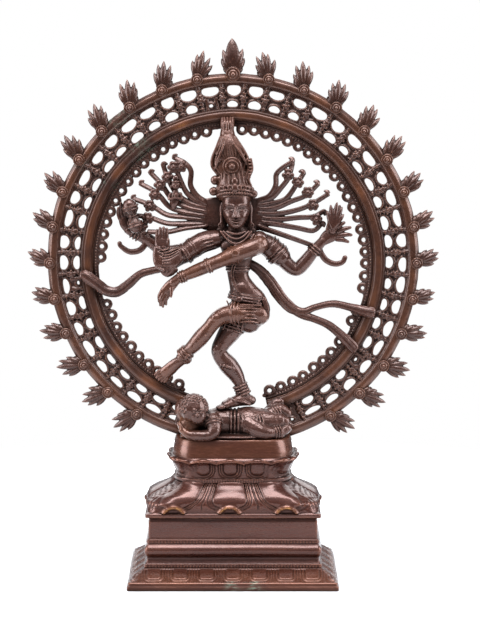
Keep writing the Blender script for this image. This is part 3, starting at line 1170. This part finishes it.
def build_fan(side, locks, rosettes, root_x, seed):
    """Flying locks with hooked tips, and a flower near each tip."""
    rng = random.Random(seed)
    clay = Clay(HAIR_Y)
    clay.tube([(root_x * 0.4, 0, 258.2, 12.4, 2.6), (root_x, -0.4, 258, 12, 1.8),
               (root_x * 1.5, 0, 258.2, 10.4, 1.5)])
    for points in locks:
        rows = []
        for i, (x, z) in enumerate(points):
            part = i / (len(points) - 1)
            rows.append((x, -1.2 * sin(pi * part) + rng.uniform(-0.4, 0.4), z, 2.05 - 0.3 * part))
        start = (root_x * 1.2, -0.2, points[0][1] * 0.85 + 259 * 0.15, 1.7)
        (x, z), (last_x, last_z) = points[-1], points[-2]
        heading = atan2(z - last_z, x - last_x)
        hook = -0.9 if (x < 0) == (z > 262) else 0.9
        for turn, reach, size in ((0.3, 1.2, 1.7), (0.9, 2.2, 1.45), (1.6, 2.8, 0.95)):
            bend = heading + hook * turn
            rows.append((x + reach * cos(bend), 0, z + reach * sin(bend), size))
        clay.tube([start, *rows], sides=12, section=lambda t: 1 + 0.16 * cos(3 * t))
    for x, z in rosettes:
        heart = np.array((x, -2.2, z))
        for petal in range(6):
            a = petal * pi / 3 + rng.uniform(-0.2, 0.2)
            clay.ball(heart + (2.7 * cos(a), 0.2, 2.7 * sin(a)), (1.8, 1.3, 1.8))
        clay.ball(heart + (0, -0.8, 0), (1.8, 1.3, 1.8))
    clay.cast(f"hair_{side}_casting", "figure_brass", f"hair_fan_{side}", voxel=0.3, soften=2, rough=0.04)


def build_goddess():
    """Small river goddess with folded hands, among the locks on the left."""
    x = -40
    clay = Clay(GODDESS_Y)
    clay.tube([(x - 1.6, 0, 263, 1.8, 1.8), (x - 0.8, -0.4, 266.6, 3.4, 2.6), (x, -0.8, 271, 3.3, 2.4),
               (x + 0.2, -0.8, 274.4, 1.9, 1.7)])
    clay.ball((x + 0.3, -1.2, 278.8), (3.2, 3, 3.5))
    clay.ball((x + 0.2, -0.6, 283.2), (2.3, 2, 2.6))
    clay.hoop((x + 0.3, -1, 281), (0, 0.1, 1), (3, 2.8), 0.6, count=24)
    for side in (-1, 1):
        clay.tube([(x + side * 3.4, -1, 272.6, 1.3), (x + side * 4.4, -2.4, 269.2, 1.1),
                   (x + 0.4 + side * 0.8, -4.4, 270, 1)], sides=10)
        clay.ball((x + 0.3 + side * 1.2, -3.9, 279.2), (0.65, 0.4, 0.35))
        clay.ball((x + 0.3 + side * 3.3, -1, 277.6), (0.7, 0.9, 1.5))
    clay.ball((x + 0.5, -4.8, 271.6), (1.2, 1, 2.3))
    clay.ball((x + 0.3, -4.3, 278.2), (0.45, 0.4, 0.7))
    clay.cast("goddess_casting", "figure_brass", "ganga_figure", voxel=0.22, soften=2, rough=0.02)


def bangles(clay, start, end, shares, radii, thick=0.7):
    """Rings of wire round a limb, at shares of the way from start to end."""
    start, end = np.array(start, float), np.array(end, float)
    for share, radius in zip(shares, radii):
        clay.hoop(start + (end - start) * share, end - start, radius, thick, count=30)


def fingers(clay, knuckles, tips, radius, bow=(0, 0, 0)):
    """Slim tapering fingers from each knuckle to its tip, bowed on the way."""
    for first, last in zip(knuckles, tips):
        first, last = np.array(first, float), np.array(last, float)
        middle = (first + last) / 2 + np.array(bow)
        clay.tube([(*first, radius), (*middle, radius * 0.92), (*last, radius * 0.62)], sides=10)


def build_front_right_arm():
    """Raised open hand; armlets and sleeve folds above the elbow."""
    clay = Clay(FIGURE_Y)
    shoulder, wrist = (-12, -1, 241), (-48.4, -10, 236)
    # upper arm, forearm, palm and fingers
    clay.tube([(*shoulder, 6.6), (-20, -1.4, 239.4, 7.2), (-28, -2.6, 235, 7.4), (-34.4, -3.8, 230.6, 6.6)],
              sides=22)
    clay.tube([(-30, -3, 233.2, 5.2), (-38, -4.6, 227.4, 4.9), (-43.2, -6, 225.2, 4.7),
               (-47, -8.4, 229.4, 4.3), (*wrist, 3.6)], sides=18)
    clay.tube([(-49, -10, 234.4, 4.2, 3), (-49.4, -10.4, 238, 5, 2.7), (-49.2, -10.2, 241.4, 4.8, 2.3)])
    tops = [(-52.6, -9.8, 248.2), (-50.4, -10, 249.8), (-48, -10, 250), (-45.8, -9.8, 249)]
    starts = [(-52.6, -10.4, 240.4), (-50.4, -10.6, 241), (-48.1, -10.6, 241), (-46, -10.4, 240.4)]
    fingers(clay, starts, tops, 1.55, (0, -0.3, 0))
    fingers(clay, [(-45.2, -11.2, 236.6)], [(-44.6, -12.2, 242)], 1.4)
    # armlets and the folds of the sleeve
    down = (-0.82, -0.1, -0.57)
    for lift, wide in ((0, 0.95), (1.7, 0.7), (6.5, 0.6), (8.2, 0.6)):
        clay.hoop((-33.6 + lift * 0.82, -3.6 + lift * 0.1, 231.2 + lift * 0.57), down, (7.2, 6.8), wide,
                  count=40)
    for k in range(7):
        a = -1.1 + 2.2 * k / 6
        clay.tube([(-14 - 2.2 * sin(a), -8.4 * cos(a), 240.4 + 6.4 * sin(a), 0.45),
                   (-22 - 2.6 * sin(a), -1.6 - 7.2 * cos(a), 238 + 6.4 * sin(a), 0.5),
                   (-28.4 - 3 * sin(a), -2.6 - 7 * cos(a), 234.4 + 6 * sin(a), 0.45)], sides=6)
    bangles(clay, (-47, -8.4, 229.4), wrist, (0.95,), (4.4,), 0.6)
    clay.cast("front_right_arm_casting", "figure_brass", "front_right_arm", voxel=0.31, rough=0.1)


def build_front_left_arm():
    """Arm flung across the chest, its hand hanging down."""
    clay = Clay(FIGURE_Y)
    shoulder, elbow, wrist = (18, -2, 237.6), (-16.6, -11, 223.8), (-37, -10, 215)
    clay.tube([(*shoulder, 7), (11, -6.6, 235, 6.6), (2, -9.4, 231.6, 5.9), (-8, -11, 227.4, 5),
               (-16.6, -11.2, 223.8, 4.8), (-26, -11, 219.8, 4.5), (-33, -10.4, 216.8, 3.9), (*wrist, 3.5),
               (-41.4, -10, 212, 3.4)], sides=20)
    clay.tube([(-38.6, -10, 214, 3.1, 3.2), (-43, -9.6, 209.8, 4, 2.8), (-46.6, -9.2, 205.4, 4.1, 2.3)])
    starts = [(-49, -9.2, 206.6), (-48, -9.8, 204.6), (-46.4, -9.6, 203.2), (-44.8, -8.8, 202.6)]
    ends = [(-51.6, -8.6, 198.2), (-50.6, -9.2, 195.6), (-48.8, -9.2, 194.6), (-46.6, -8.6, 196.2)]
    fingers(clay, starts, ends, 1.45, (-0.9, -0.3, 0))
    fingers(clay, [(-42.6, -11.4, 208.4)], [(-43, -12.8, 202.2)], 1.4)
    bangles(clay, shoulder, elbow, (0.44, 0.50, 0.56), (6.5, 6.7, 6.2), 0.8)
    clay.ball((1.6, -15.4, 233), (2.8, 1.5, 2.8))
    clay.hoop((1.6, -16.2, 233), FORWARD, 1.8, 0.5, count=20)
    bangles(clay, elbow, wrist, (-0.02, 0.06, 0.84, 0.92, 1), (5.1, 5.1, 4.1, 4.1, 4), 0.6)
    clay.cast("front_left_arm_casting", "figure_brass", "front_left_arm", voxel=0.31, rough=0.09,
              rub=lambda place: 0.17)


def build_rear_right_arm():
    """Arm that lifts the drum, with a curl of scarf and three flowers."""
    clay = Clay(FIGURE_Y)
    clay.tube([(-10, 6, 240.4, 5.4), (-24, 7.6, 236.4, 5.2), (-38, 8, 232, 5), (-48, 8, 232, 4.8),
               (-59.5, 7, 240, 4.6), (-68, 6.4, 244.4, 4), (-72.6, 6, 247, 3.8)], sides=16)
    clay.tube([(-72, 6, 246.4, 3.6, 3), (-74.2, 5.4, 251, 4.9, 2.8), (-75.6, 5, 255.4, 4.7, 2.4)])
    starts = [(-79, 4.6, 255), (-77.2, 4.4, 257), (-75, 4.2, 257.4), (-72.8, 3.8, 256.8)]
    ends = [(-80, 2.6, 262.4), (-78, 1.6, 266), (-75.2, 0.4, 266.6), (-72.4, -1.4, 263.4)]
    fingers(clay, starts, ends, 1.6, (-0.6, 0.6, 0))
    fingers(clay, [(-70.6, 4.6, 250.6)], [(-66.6, 0.4, 256)], 1.6, (0, -0.6, -0.6))
    bangles(clay, (-59.5, 7, 240), (-72.6, 6, 246.6), (0.5, 0.66, 0.82), (4.7, 4.5, 4.3), 0.6)
    curl = [(-65, 5, 243, 1.6), (-61.6, 5, 237.6, 1.9), (-65.4, 5, 232.6, 2), (-72.6, 5, 231.6, 1.9),
            (-78.4, 5, 235.4, 1.6), (-79.4, 5, 237.6, 1.5)]
    clay.tube(curl, sides=10, section=lambda t: 1 + 0.14 * cos(2 * t))
    for x, z in ((-62.4, 249.6), (-60.4, 255.8), (-64, 245.2)):
        clay.flower((x, 1.8, z), 5, 1.9, (1.4, 1.2, 1.4), lift=0.8)
        clay.ball((x, 1.8, z), 1.4)
    clay.tube([(-66, 5, 246, 2.2), (-61, 3.6, 252, 1.8), (-60, 3.6, 257, 1.2)], sides=10)
    clay.cast("rear_right_arm_casting", "figure_brass", "rear_right_arm", voxel=0.31)


def build_rear_left_arm():
    """Arm that holds fire on its palm, with a sleeve and a curl of scarf."""
    clay = Clay(FIGURE_Y)
    clay.tube([(17.6, 3, 240, 6.2), (24, 4, 236.4, 7.4), (29.6, 4.4, 231.8, 7.8), (33.4, 4.2, 228.4, 7)],
              sides=22)
    clay.tube([(28, 4, 233, 5.6), (34, 4.4, 227, 5.4), (40.6, 4, 220.8, 4.9), (45, 3.6, 219.4, 4.7),
               (49.6, 3, 223.8, 4.8), (55, 2.4, 230.6, 4.3), (60.4, 2, 237, 3.6), (63, 2, 239.8, 3.3)],
              sides=18)
    clay.tube([(62, 2, 238.6, 3.3, 2.8), (66.4, 2, 242.4, 5, 2.8), (70.6, 2, 244.6, 4.8, 2.4)])
    starts = [(71.6, 1.6, 248.2), (73.6, 1.4, 246.2), (74, 1.4, 243.4), (72.8, 1.8, 240.8)]
    ends = [(77.4, 0.6, 252.4), (81.6, 0.8, 249), (82.4, 1, 243.8), (80.2, 1.6, 239)]
    fingers(clay, starts, ends, 1.95, (0, -0.6, 0.5))
    fingers(clay, [(66, 1, 245.6)], [(66.6, -0.6, 252)], 1.7)
    # sleeve hems and folds
    heading = (0.68, 0, -0.73)
    for run, size, wide in ((0, 7.2, 0.6), (2.6, 7.7, 0.6), (7.4, 8, 0.6), (9.8, 7.9, 0.95),
                            (11.6, 7.5, 0.95)):
        clay.hoop((24.4 + run * 0.68, 4.2, 237.2 - run * 0.73), heading, (size, size * 0.96), wide,
                  count=44)
    for k in range(8):
        a = -1.3 + 2.6 * k / 7
        lift = 6.8 * sin(a)
        clay.tube([(27.2 + lift * 0.73, 4.4 - 7.4 * cos(a), 233.4 + lift * 0.68, 0.5),
                   (30.4 + lift * 0.76, 4.4 - 7.6 * cos(a), 230.4 + lift * 0.7, 0.5)], sides=6)
    bangles(clay, (49.6, 3, 224), (60.4, 2, 237.2), (0.6, 0.72, 0.84), (4.6, 4.4, 4.2), 0.6)
    curl = [(60.4, 3, 235.6, 1.6), (61.6, 3, 230.8, 1.9), (65.2, 3, 225.8, 2), (71.2, 3, 223.2, 1.9),
            (76.6, 3, 224.4, 1.7), (78.4, 3, 227.8, 1.6)]
    clay.tube(curl, sides=10, section=lambda t: 1 + 0.14 * cos(2 * t))
    clay.cast("rear_left_arm_casting", "figure_brass", "rear_left_arm", voxel=0.31)


def build_hand_drum():
    """Hourglass drum with laced cords."""
    clay = Clay(FIGURE_Y)
    shell = ((-71.8, 264.6, 5), (-71.5, 263, 5.5), (-70.6, 260.2, 3.4), (-69.8, 257.4, 2.3),
             (-68.9, 254.4, 3.5), (-67.9, 251.4, 5.5), (-67.5, 250, 5))
    clay.tube([(x, -1.6, z, radius) for x, z, radius in shell], sides=20)
    axis = (-0.28, 0, 1)
    for x, z, radius in ((-71.6, 264, 5.6), (-71, 261.8, 4.9), (-68.3, 252.6, 5), (-67.7, 250.6, 5.6)):
        clay.hoop((x, -1.6, z), axis, radius, 0.6, count=30)
    clay.hoop((-69.8, -1.6, 257.4), axis, 2.6, 0.7, count=24)
    for a in around(8):
        clay.tube([(-71.2 + 5 * cos(a), -1.6 + 5 * sin(a), 262.6, 0.4),
                   (-69.8 + 2.5 * cos(a + 0.4), -1.6 + 2.5 * sin(a + 0.4), 257.4, 0.4),
                   (-68.3 + 5 * cos(a), -1.6 + 5 * sin(a), 252, 0.4)], sides=6)
    clay.cast("drum_casting", "figure_brass", "hand_drum", voxel=0.25, soften=2, rough=0.02)


def build_hand_fire():
    """Five tongues of flame."""
    clay = Clay(FIGURE_Y)
    clay.tube([(69.4, 1, 246.8, 3), (70.2, 1, 251, 4.6, 3), (71.4, 0.8, 256, 4.8, 2.8),
               (73.2, 0.8, 261, 3, 2), (74.4, 0.8, 264, 1, 0.9)], sides=18)
    for lean, length in ((-0.34, 12), (-0.1, 15.5), (0.16, 17.4), (0.42, 15.4), (0.68, 11.6)):
        rows = []
        for part, fat in ((0, 0.9), (0.3, 1.15), (0.6, 1.05), (0.85, 0.8), (1, 0.4)):
            rows.append((69.6 + sin(lean) * length * part, -1.6 + part * 1.2,
                         249 + cos(lean) * length * part, 1.8 * fat))
        clay.tube(rows, sides=10)
    clay.cast("fire_casting", "figure_brass", "hand_flame", voxel=0.28, soften=2, rough=0.03)


def build_cobra():
    """Cobra wound round the right forearm, its hood spread below."""
    clay = Clay(FIGURE_Y)
    wrap = [(-35.6, -7.6, 233, 4.6, 2), (-39.4, -9.8, 230.4, 6.4, 2.4), (-44, -11.8, 228, 7.2, 2.6),
            (-48.4, -12.4, 227.4, 7.2, 2.6), (-51, -11.8, 231.4, 4.8, 2.4), (-50.6, -11.4, 236, 4.2, 2)]
    clay.tube(wrap, sides=24)
    for shift in np.linspace(-5.6, 5.6, 7):
        bulge = sqrt(max(0.05, 1 - (shift / 7.4) ** 2))
        cord = [(x, y - deep * bulge - 0.1, z + shift * wide / 7.2, 0.5)
                for x, y, z, wide, deep in wrap[:4]]
        clay.tube(cord, sides=8)
    for k in range(6):
        low = 223.4 + 2.7 * k
        clay.tube([(-53.8, -11.4, low, 0.45), (-51.2, -14, low - 0.8, 0.55),
                   (-47.6, -14.8, low - 2.6, 0.45)], sides=6)
    hang = [(-43.8, -11, 223.4, 6.2, 2.2), (-45.8, -10.6, 219.8, 5, 2), (-47.2, -9.8, 217.6, 3.4, 1.6)]
    clay.tube(hang, sides=18, section=lambda t: 1 + 0.1 * cos(6 * t))
    for shift in (-2.6, 0, 2.6):
        clay.tube([(-44 + shift, -13, 222.6, 0.5), (-46.4 + shift * 0.8, -12.4, 218.6, 0.45)], sides=6)
    clay.cast("cobra_casting", "figure_brass", "arm_cobra", voxel=0.28, soften=2, rough=0.03)


def build_raised_leg():
    """Left leg lifted across the body."""
    clay = Clay(FIGURE_Y)
    clay.tube([(18, -2.4, 188.4, 8), (9, -6.4, 190, 7.5), (0, -9.4, 190, 6.8), (-7.4, -10.6, 188.4, 6),
               (-12.2, -10.8, 185, 5.4), (-16, -10, 180.4, 5), (-21.6, -8.6, 173.6, 5.6),
               (-27, -7, 167.2, 5.1), (-32.6, -5, 161.8, 4.1), (-36.4, -3.6, 158, 3.6)], sides=20)
    clay.ball((-11.4, -13.6, 187.2), (4.2, 3.2, 3.8))
    clay.ball((-32.8, -3.4, 156.6), (4, 3.8, 3.6))
    clay.tube([(-33.6, -3.6, 157.4, 3.6, 3.4), (-38.8, -2.6, 154.2, 4.1, 3.4), (-44, -0.8, 149.6, 4.6, 2.9),
               (-48, 0.8, 145.8, 4.7, 2.4)])
    starts = [(-51.6, 0.8, 147.6), (-50.6, 0.8, 145.8), (-49.4, 0.8, 144.4), (-47.8, 1, 143.2),
              (-46.2, 1, 142.4)]
    ends = [(-55, 1, 145), (-53.8, 1, 142.8), (-52.2, 1.2, 141.2), (-50.2, 1.4, 140.2),
            (-48.2, 1.4, 139.8)]
    fingers(clay, starts, ends, 1.5)
    for x, tilt in ((0.2, 0), (2.2, 0.05), (4.6, 0.1)):
        clay.hoop((x, -9 + tilt * 10, 190.2), (1, -0.3, 0.02), (7.7, 7.5), 0.7, count=40)
    for k in range(6):
        u = k / 5
        clay.tube([(19.5 - 2 * u, -9 - 1 * u, 195.5 - 12 * u, 0.5),
                   (12, -12.8 - 1.2 * u, 196.4 - 11.5 * u, 0.6),
                   (5.4, -14.8 + abs(k - 2.2) * 0.5, 196.4 - 12 * u, 0.5)], sides=6)
    bangles(clay, (-27, -7, 167.2), (-36.4, -3.6, 158), (0.52, 0.68, 0.84), (5, 4.9, 5.1), 0.9)
    skirt = [(-31.6 + 5 * sin(a) * 0.7, -5 - 4.9 * cos(a), 159.8 + 5 * sin(a) * 0.7)
             for a in np.linspace(-1.8, 1.8, 8)]
    clay.beads(skirt, 1.9, 1.1)
    clay.cast("raised_leg_casting", "figure_brass", "raised_leg", voxel=0.32, rough=0.1,
              rub=lambda place: 0.12)


def build_standing_leg():
    """Right leg, bent under the dancer's weight, with its foot on the dwarf."""
    clay = Clay(FIGURE_Y)
    clay.tube([(6.4, 0, 190, 9), (2.8, -0.8, 183.6, 8.6), (-2.2, -2, 176, 7.8), (-7.4, -3, 168.4, 6.2),
               (-9.6, -3.4, 163.4, 5.6), (-8.4, -2.8, 158.6, 5.7), (-3.4, -1.8, 152.4, 6.6),
               (1.4, -1.2, 146, 5.8), (5, -1, 139, 4.2), (6.8, -1, 133.8, 3.7), (8.4, -1, 129.6, 3.9)],
              sides=20)
    clay.ball((-11, -6.4, 164.2), (3.8, 3, 4.2))
    clay.ball((12, -0.4, 127), (4.2, 3.8, 3.6))
    clay.tube([(10.8, -1.2, 127.4, 4, 4.2), (4.6, -3.4, 127.6, 4.4, 4.3), (-1.4, -5.6, 126.2, 4.9, 3.6),
               (-5, -7, 125, 5, 3)], facing=(0, 0, 1))
    clay.tube([(11.6, -4.6, 124.6, 1), (6.4, -7.4, 127.2, 1.2), (0.4, -8.8, 128.4, 1.1),
               (-3, -5, 129, 0.9)], sides=10)
    starts = [(-6, -3.6, 124.2), (-7, -5.4, 124.2), (-7.6, -7.2, 124.1), (-7.6, -9, 124),
              (-6.8, -10.8, 124)]
    ends = [(-9.6, -4.6, 123.4), (-10.8, -6.5, 123.4), (-11.2, -8.3, 123.3), (-11, -10, 123.3),
            (-9.8, -11.8, 123.3)]
    fingers(clay, starts, ends, 1.5)
    for k in range(3):
        clay.hoop((-1.2 + 0.9 * k, -1.6, 177.6 + 2.1 * k), (0.35, 0.1, 1), (8.6 + 0.2 * k, 8.3), 0.65,
                  count=40)
    for k in range(5):
        clay.tube([(-3 + 2.6 * k, -9.2, 188 - k * 0.4, 0.5), (-5 + 2.9 * k, -9.6, 183 - k * 0.3, 0.55),
                   (-7 + 3.2 * k, -9.3 + abs(k - 1) * 0.4, 178.6 - k * 0.3, 0.5)], sides=6)
    ring = [(-4 + 6.8 * sin(a), -1.8 - 6.6 * cos(a), 152 - 2.4 * sin(a))
            for a in np.linspace(-2.6, 2.6, 12)]
    clay.beads(ring, 2.2, 1.15)
    bangles(clay, (1.4, -1.2, 146), (8.4, -1, 129.6), (0.5, 0.62, 0.74, 0.86), (4.9, 4.7, 4.7, 4.9), 0.85)
    clay.cast("standing_leg_casting", "figure_brass", "standing_leg", voxel=0.32, rough=0.1)


def sash(name, node, runs):
    """Fluted ribbons: each run is rows of (x, y, z, half width, half thickness)."""
    clay = Clay(SASH_Y)
    for rows in runs:
        clay.tube(rows, sides=28, section=lambda t: 1 + 0.10 * cos(8 * t))
        for shift in (-0.45, 0.45):
            ridge = [(x, y - thick * 0.85, z + shift * wide, 0.42 + wide * 0.05)
                     for x, y, z, wide, thick in rows]
            clay.tube(ridge, sides=8)
    clay.cast(name, "figure_brass", node, voxel=0.34, soften=2)


def build_sashes():
    """Flying ends of the waist sash, brazed across the front of the inner rim."""
    left = [(-41, -3, 223.4, 2.4, 1.6), (-47.5, -1.6, 220.6, 2.6, 1.6), (-56, -0.6, 218.6, 2.6, 1.5),
            (-65, -1, 216, 2.8, 1.5), (-73, -0.8, 209.2, 3.2, 1.5), (-81, -0.2, 203.6, 3.5, 1.5),
            (-88.6, 0, 204.2, 3.7, 1.6), (-96, -0.4, 209.6, 3.9, 1.7), (-103, -0.4, 214.6, 3.9, 1.6),
            (-106.4, 0.4, 215.8, 2.8, 1.2)]
    sash("sash_left_casting", "sash_left", [left])
    upper = [(11, 0, 224, 3, 1.6), (19, 0, 218.4, 3.6, 1.6), (26.6, -0.6, 209.6, 4, 1.5),
             (33.6, -1, 199.4, 4, 1.5), (41.6, -0.8, 191.6, 3.6, 1.5), (49.6, -0.6, 189.6, 2.6, 1.4),
             (58, -0.4, 192.6, 2.4, 1.4), (70, -0.2, 195, 2.5, 1.4), (82, 0, 192.6, 2.8, 1.5),
             (92, -0.4, 189.8, 3.6, 1.6), (98.6, 0, 188.4, 3.8, 1.5)]
    lower = [(38, -0.8, 194.6, 3.2, 1.4), (47, -0.6, 188, 2.9, 1.4), (57, -0.4, 184.4, 2.7, 1.4),
             (67, -0.2, 180, 2.8, 1.4), (75, 0, 173.6, 3.2, 1.5), (81.6, -0.3, 167, 3.7, 1.6),
             (85.6, 0, 162.6, 3.6, 1.5)]
    sash("sash_right_casting", "sash_right", [upper, lower])


def build_dwarf():
    """Dwarf lying face down, head turned out on the left, knees bent on the right."""
    clay = Clay(DWARF_Y)
    clay.tube([(-21, -3, 115, 6.6, 6.6), (-14, -1, 112.6, 10, 9.4), (-5, 0, 112.2, 10.4, 9.2),
               (2, 0, 111.6, 9.4, 8.6), (9, 0, 112.4, 10.8, 9.8), (17, 0, 112.4, 10.2, 9.6),
               (25, -0.6, 112.4, 8.6, 8.2), (32, 0, 113, 6.4, 6.2)], sides=24)
    clay.tube([(-35, 2, 103.4, 2, 9.5), (0, 0, 103.6, 2.2, 14), (34, 2, 103.4, 2, 10.5)], sides=24)
    # bent knees and feet
    clay.tube([(10, -4, 112, 7.6), (17, -8, 108.6, 6.6), (22, -9, 106.8, 5.4), (28, -7, 106, 4.4),
               (34, -4, 106.4, 3.8), (38, -2, 108.2, 3.4)], sides=16)
    clay.tube([(22, 1, 114, 6.6), (28, 2, 118, 5.6), (33.4, 3, 120.6, 4.4), (38, 3, 118, 3.6)], sides=16)
    clay.tube([(26, 4.4, 119, 4.6), (29.6, 4.6, 124.6, 3.4), (33.6, 4.6, 126, 2.6)], sides=12)
    clay.ball((36.6, -0.4, 112.6), (3.6, 4.4, 4.4))
    bangles(clay, (28, 2, 118), (33.4, 3, 120.6), (0.2, 0.5, 0.8), (5.6, 5.2, 4.9), 0.6)
    bangles(clay, (28, -7, 106), (34, -4, 106.4), (0.1, 0.4, 0.7), (4.7, 4.5, 4.3), 0.6)
    # head, nape and the mass under the chin
    centre = np.array((-27.4, -6.6, 122.8))
    clay.ball(centre, (9.8, 9.2, 10.2))
    clay.ball((-24.6, -11.2, 118.8), (6, 5.4, 6.4))
    clay.ball((-35, -0.4, 121.6), (6, 6.4, 7.4))
    clay.ball((-30.4, -4.4, 110.4), (8.4, 7, 7.6))
    clay.tube([(-25, -5, 116, 6.4), (-18, -3, 114, 6.6)])
    # arm folded over the base
    clay.tube([(-14, -7, 115.4, 5.6), (-13, -11.6, 109.4, 5), (-16.4, -13, 105.4, 4.2),
               (-25, -13, 105, 3.8), (-31, -12, 105.6, 3.2), (-35.4, -10, 108.6, 2.6)], sides=16)
    fingers(clay, [(-34.6, -11.6, 108.4), (-35.6, -10.4, 109), (-36, -9.2, 109)],
            [(-37.4, -9.6, 113.4), (-38.4, -8.2, 113), (-38.6, -6.8, 112.2)], 1.4)
    clay.tube([(-12, 6, 110, 3.6), (-18, 8, 105.6, 3.2), (-28, 6, 104.6, 2.8)])
    # tight curls over the scalp
    rng = random.Random(8)
    for _ in range(320):
        a, b = rng.uniform(-pi, pi), rng.uniform(-0.2, 1.5)
        away = np.array((cos(a) * cos(b), sin(a) * cos(b), sin(b)))
        if away[1] > -0.45 or away[2] > 0.62 or away[0] < -0.55:
            clay.ball(centre + away * np.array((9.8, 9.2, 10.2)), rng.uniform(0.7, 1))
    heart = np.array((-24.6, -16, 120.4))
    clay.ball(heart + (0, -0.4, -0.2), (1.2, 1.4, 1.6))
    for side in (-1, 1):
        clay.ball(heart + (side * 2.7, 0.6, 1.4), (1.6, 0.9, 0.9))
        clay.tube([(*(heart + (side * 0.9, 0.3, 2.9)), 0.35), (*(heart + (side * 2.7, 0.2, 3.6)), 0.45),
                   (*(heart + (side * 4.6, 1.8, 2.9)), 0.35)], sides=6)
    clay.tube([(*(heart + (-1.8, 0.9, -3)), 0.4), (*(heart + (0, 0.4, -3.3)), 0.7),
               (*(heart + (1.8, 0.9, -3)), 0.4)], sides=6)
    for x, radius in ((-1.4, 9.6), (1.2, 9.5), (3.8, 9.9)):
        clay.hoop((x, 0, 112), (1, 0, 0), (radius, radius - 0.3), 0.9, count=40)
    clay.hoop((-19, -2.6, 114.8), (0.9, 0.25, 0.2), (7.8, 7.9), 0.9, count=40)
    for k in range(8):
        fold = [(6 + 2 * k, -7.4, 119, 0.5), (7.4 + 2 * k, -10.4, 113.2, 0.65),
                (7.6 + 1.8 * k, -10.8, 107.4, 0.5)]
        clay.tube(fold, sides=6)
    bangles(clay, (-14, -7, 115.4), (-13, -11.6, 109.4), (0.3, 0.55), (6, 5.7), 0.8)
    clay.cast("dwarf_casting", "figure_brass", "dwarf", voxel=0.36, soften=2, rough=0.18,
              rub=lambda place: 0.75 * near(np.linalg.norm(place - (-37, -19, 111)), 0, 8))


# ---------------------------------------------------------------- assembly

add_camera()
add_world()
add_floor()
add_softbox("top_box", (0.0, -0.5, 1.3), 1.2, 0.5, 28, COOL_WHITE)
add_softbox("left_box", (-1.15, -0.25, 0.5), 0.6, 1.1, 20, COLD_WHITE)
add_softbox("right_box", (1.15, -0.2, 0.5), 0.6, 1.1, 19, COLD_WHITE)
add_softbox("back_box", (0, 1.3, 0.9), 1.6, 1.0, 12)

build_rims()
build_lattice()
build_loops()
for flame in range(FLAMES):
    build_flame(flame + 1, flame - FLAMES // 2)
build_feet()
build_plinth()
build_lotus()
build_torso()
build_head()
build_crown()
build_fan("left", LEFT_LOCKS, LEFT_ROSETTES, -15.0, 21)
build_fan("right", RIGHT_LOCKS, RIGHT_ROSETTES, 15.0, 22)
build_goddess()
build_front_right_arm()
build_front_left_arm()
build_rear_right_arm()
build_rear_left_arm()
build_hand_drum()
build_hand_fire()
build_cobra()
build_raised_leg()
build_standing_leg()
build_sashes()
build_dwarf()
for fixing in ("pedestal_screws", "pedestal_washers", "dwarf_studs", "dwarf_nuts", "tang_pins"):
    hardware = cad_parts[fixing]
    hardware.data.materials.clear()
    hardware.data.materials.append(MATERIALS["fastener_steel"])

bpy.context.scene.view_settings.view_transform = "Standard"
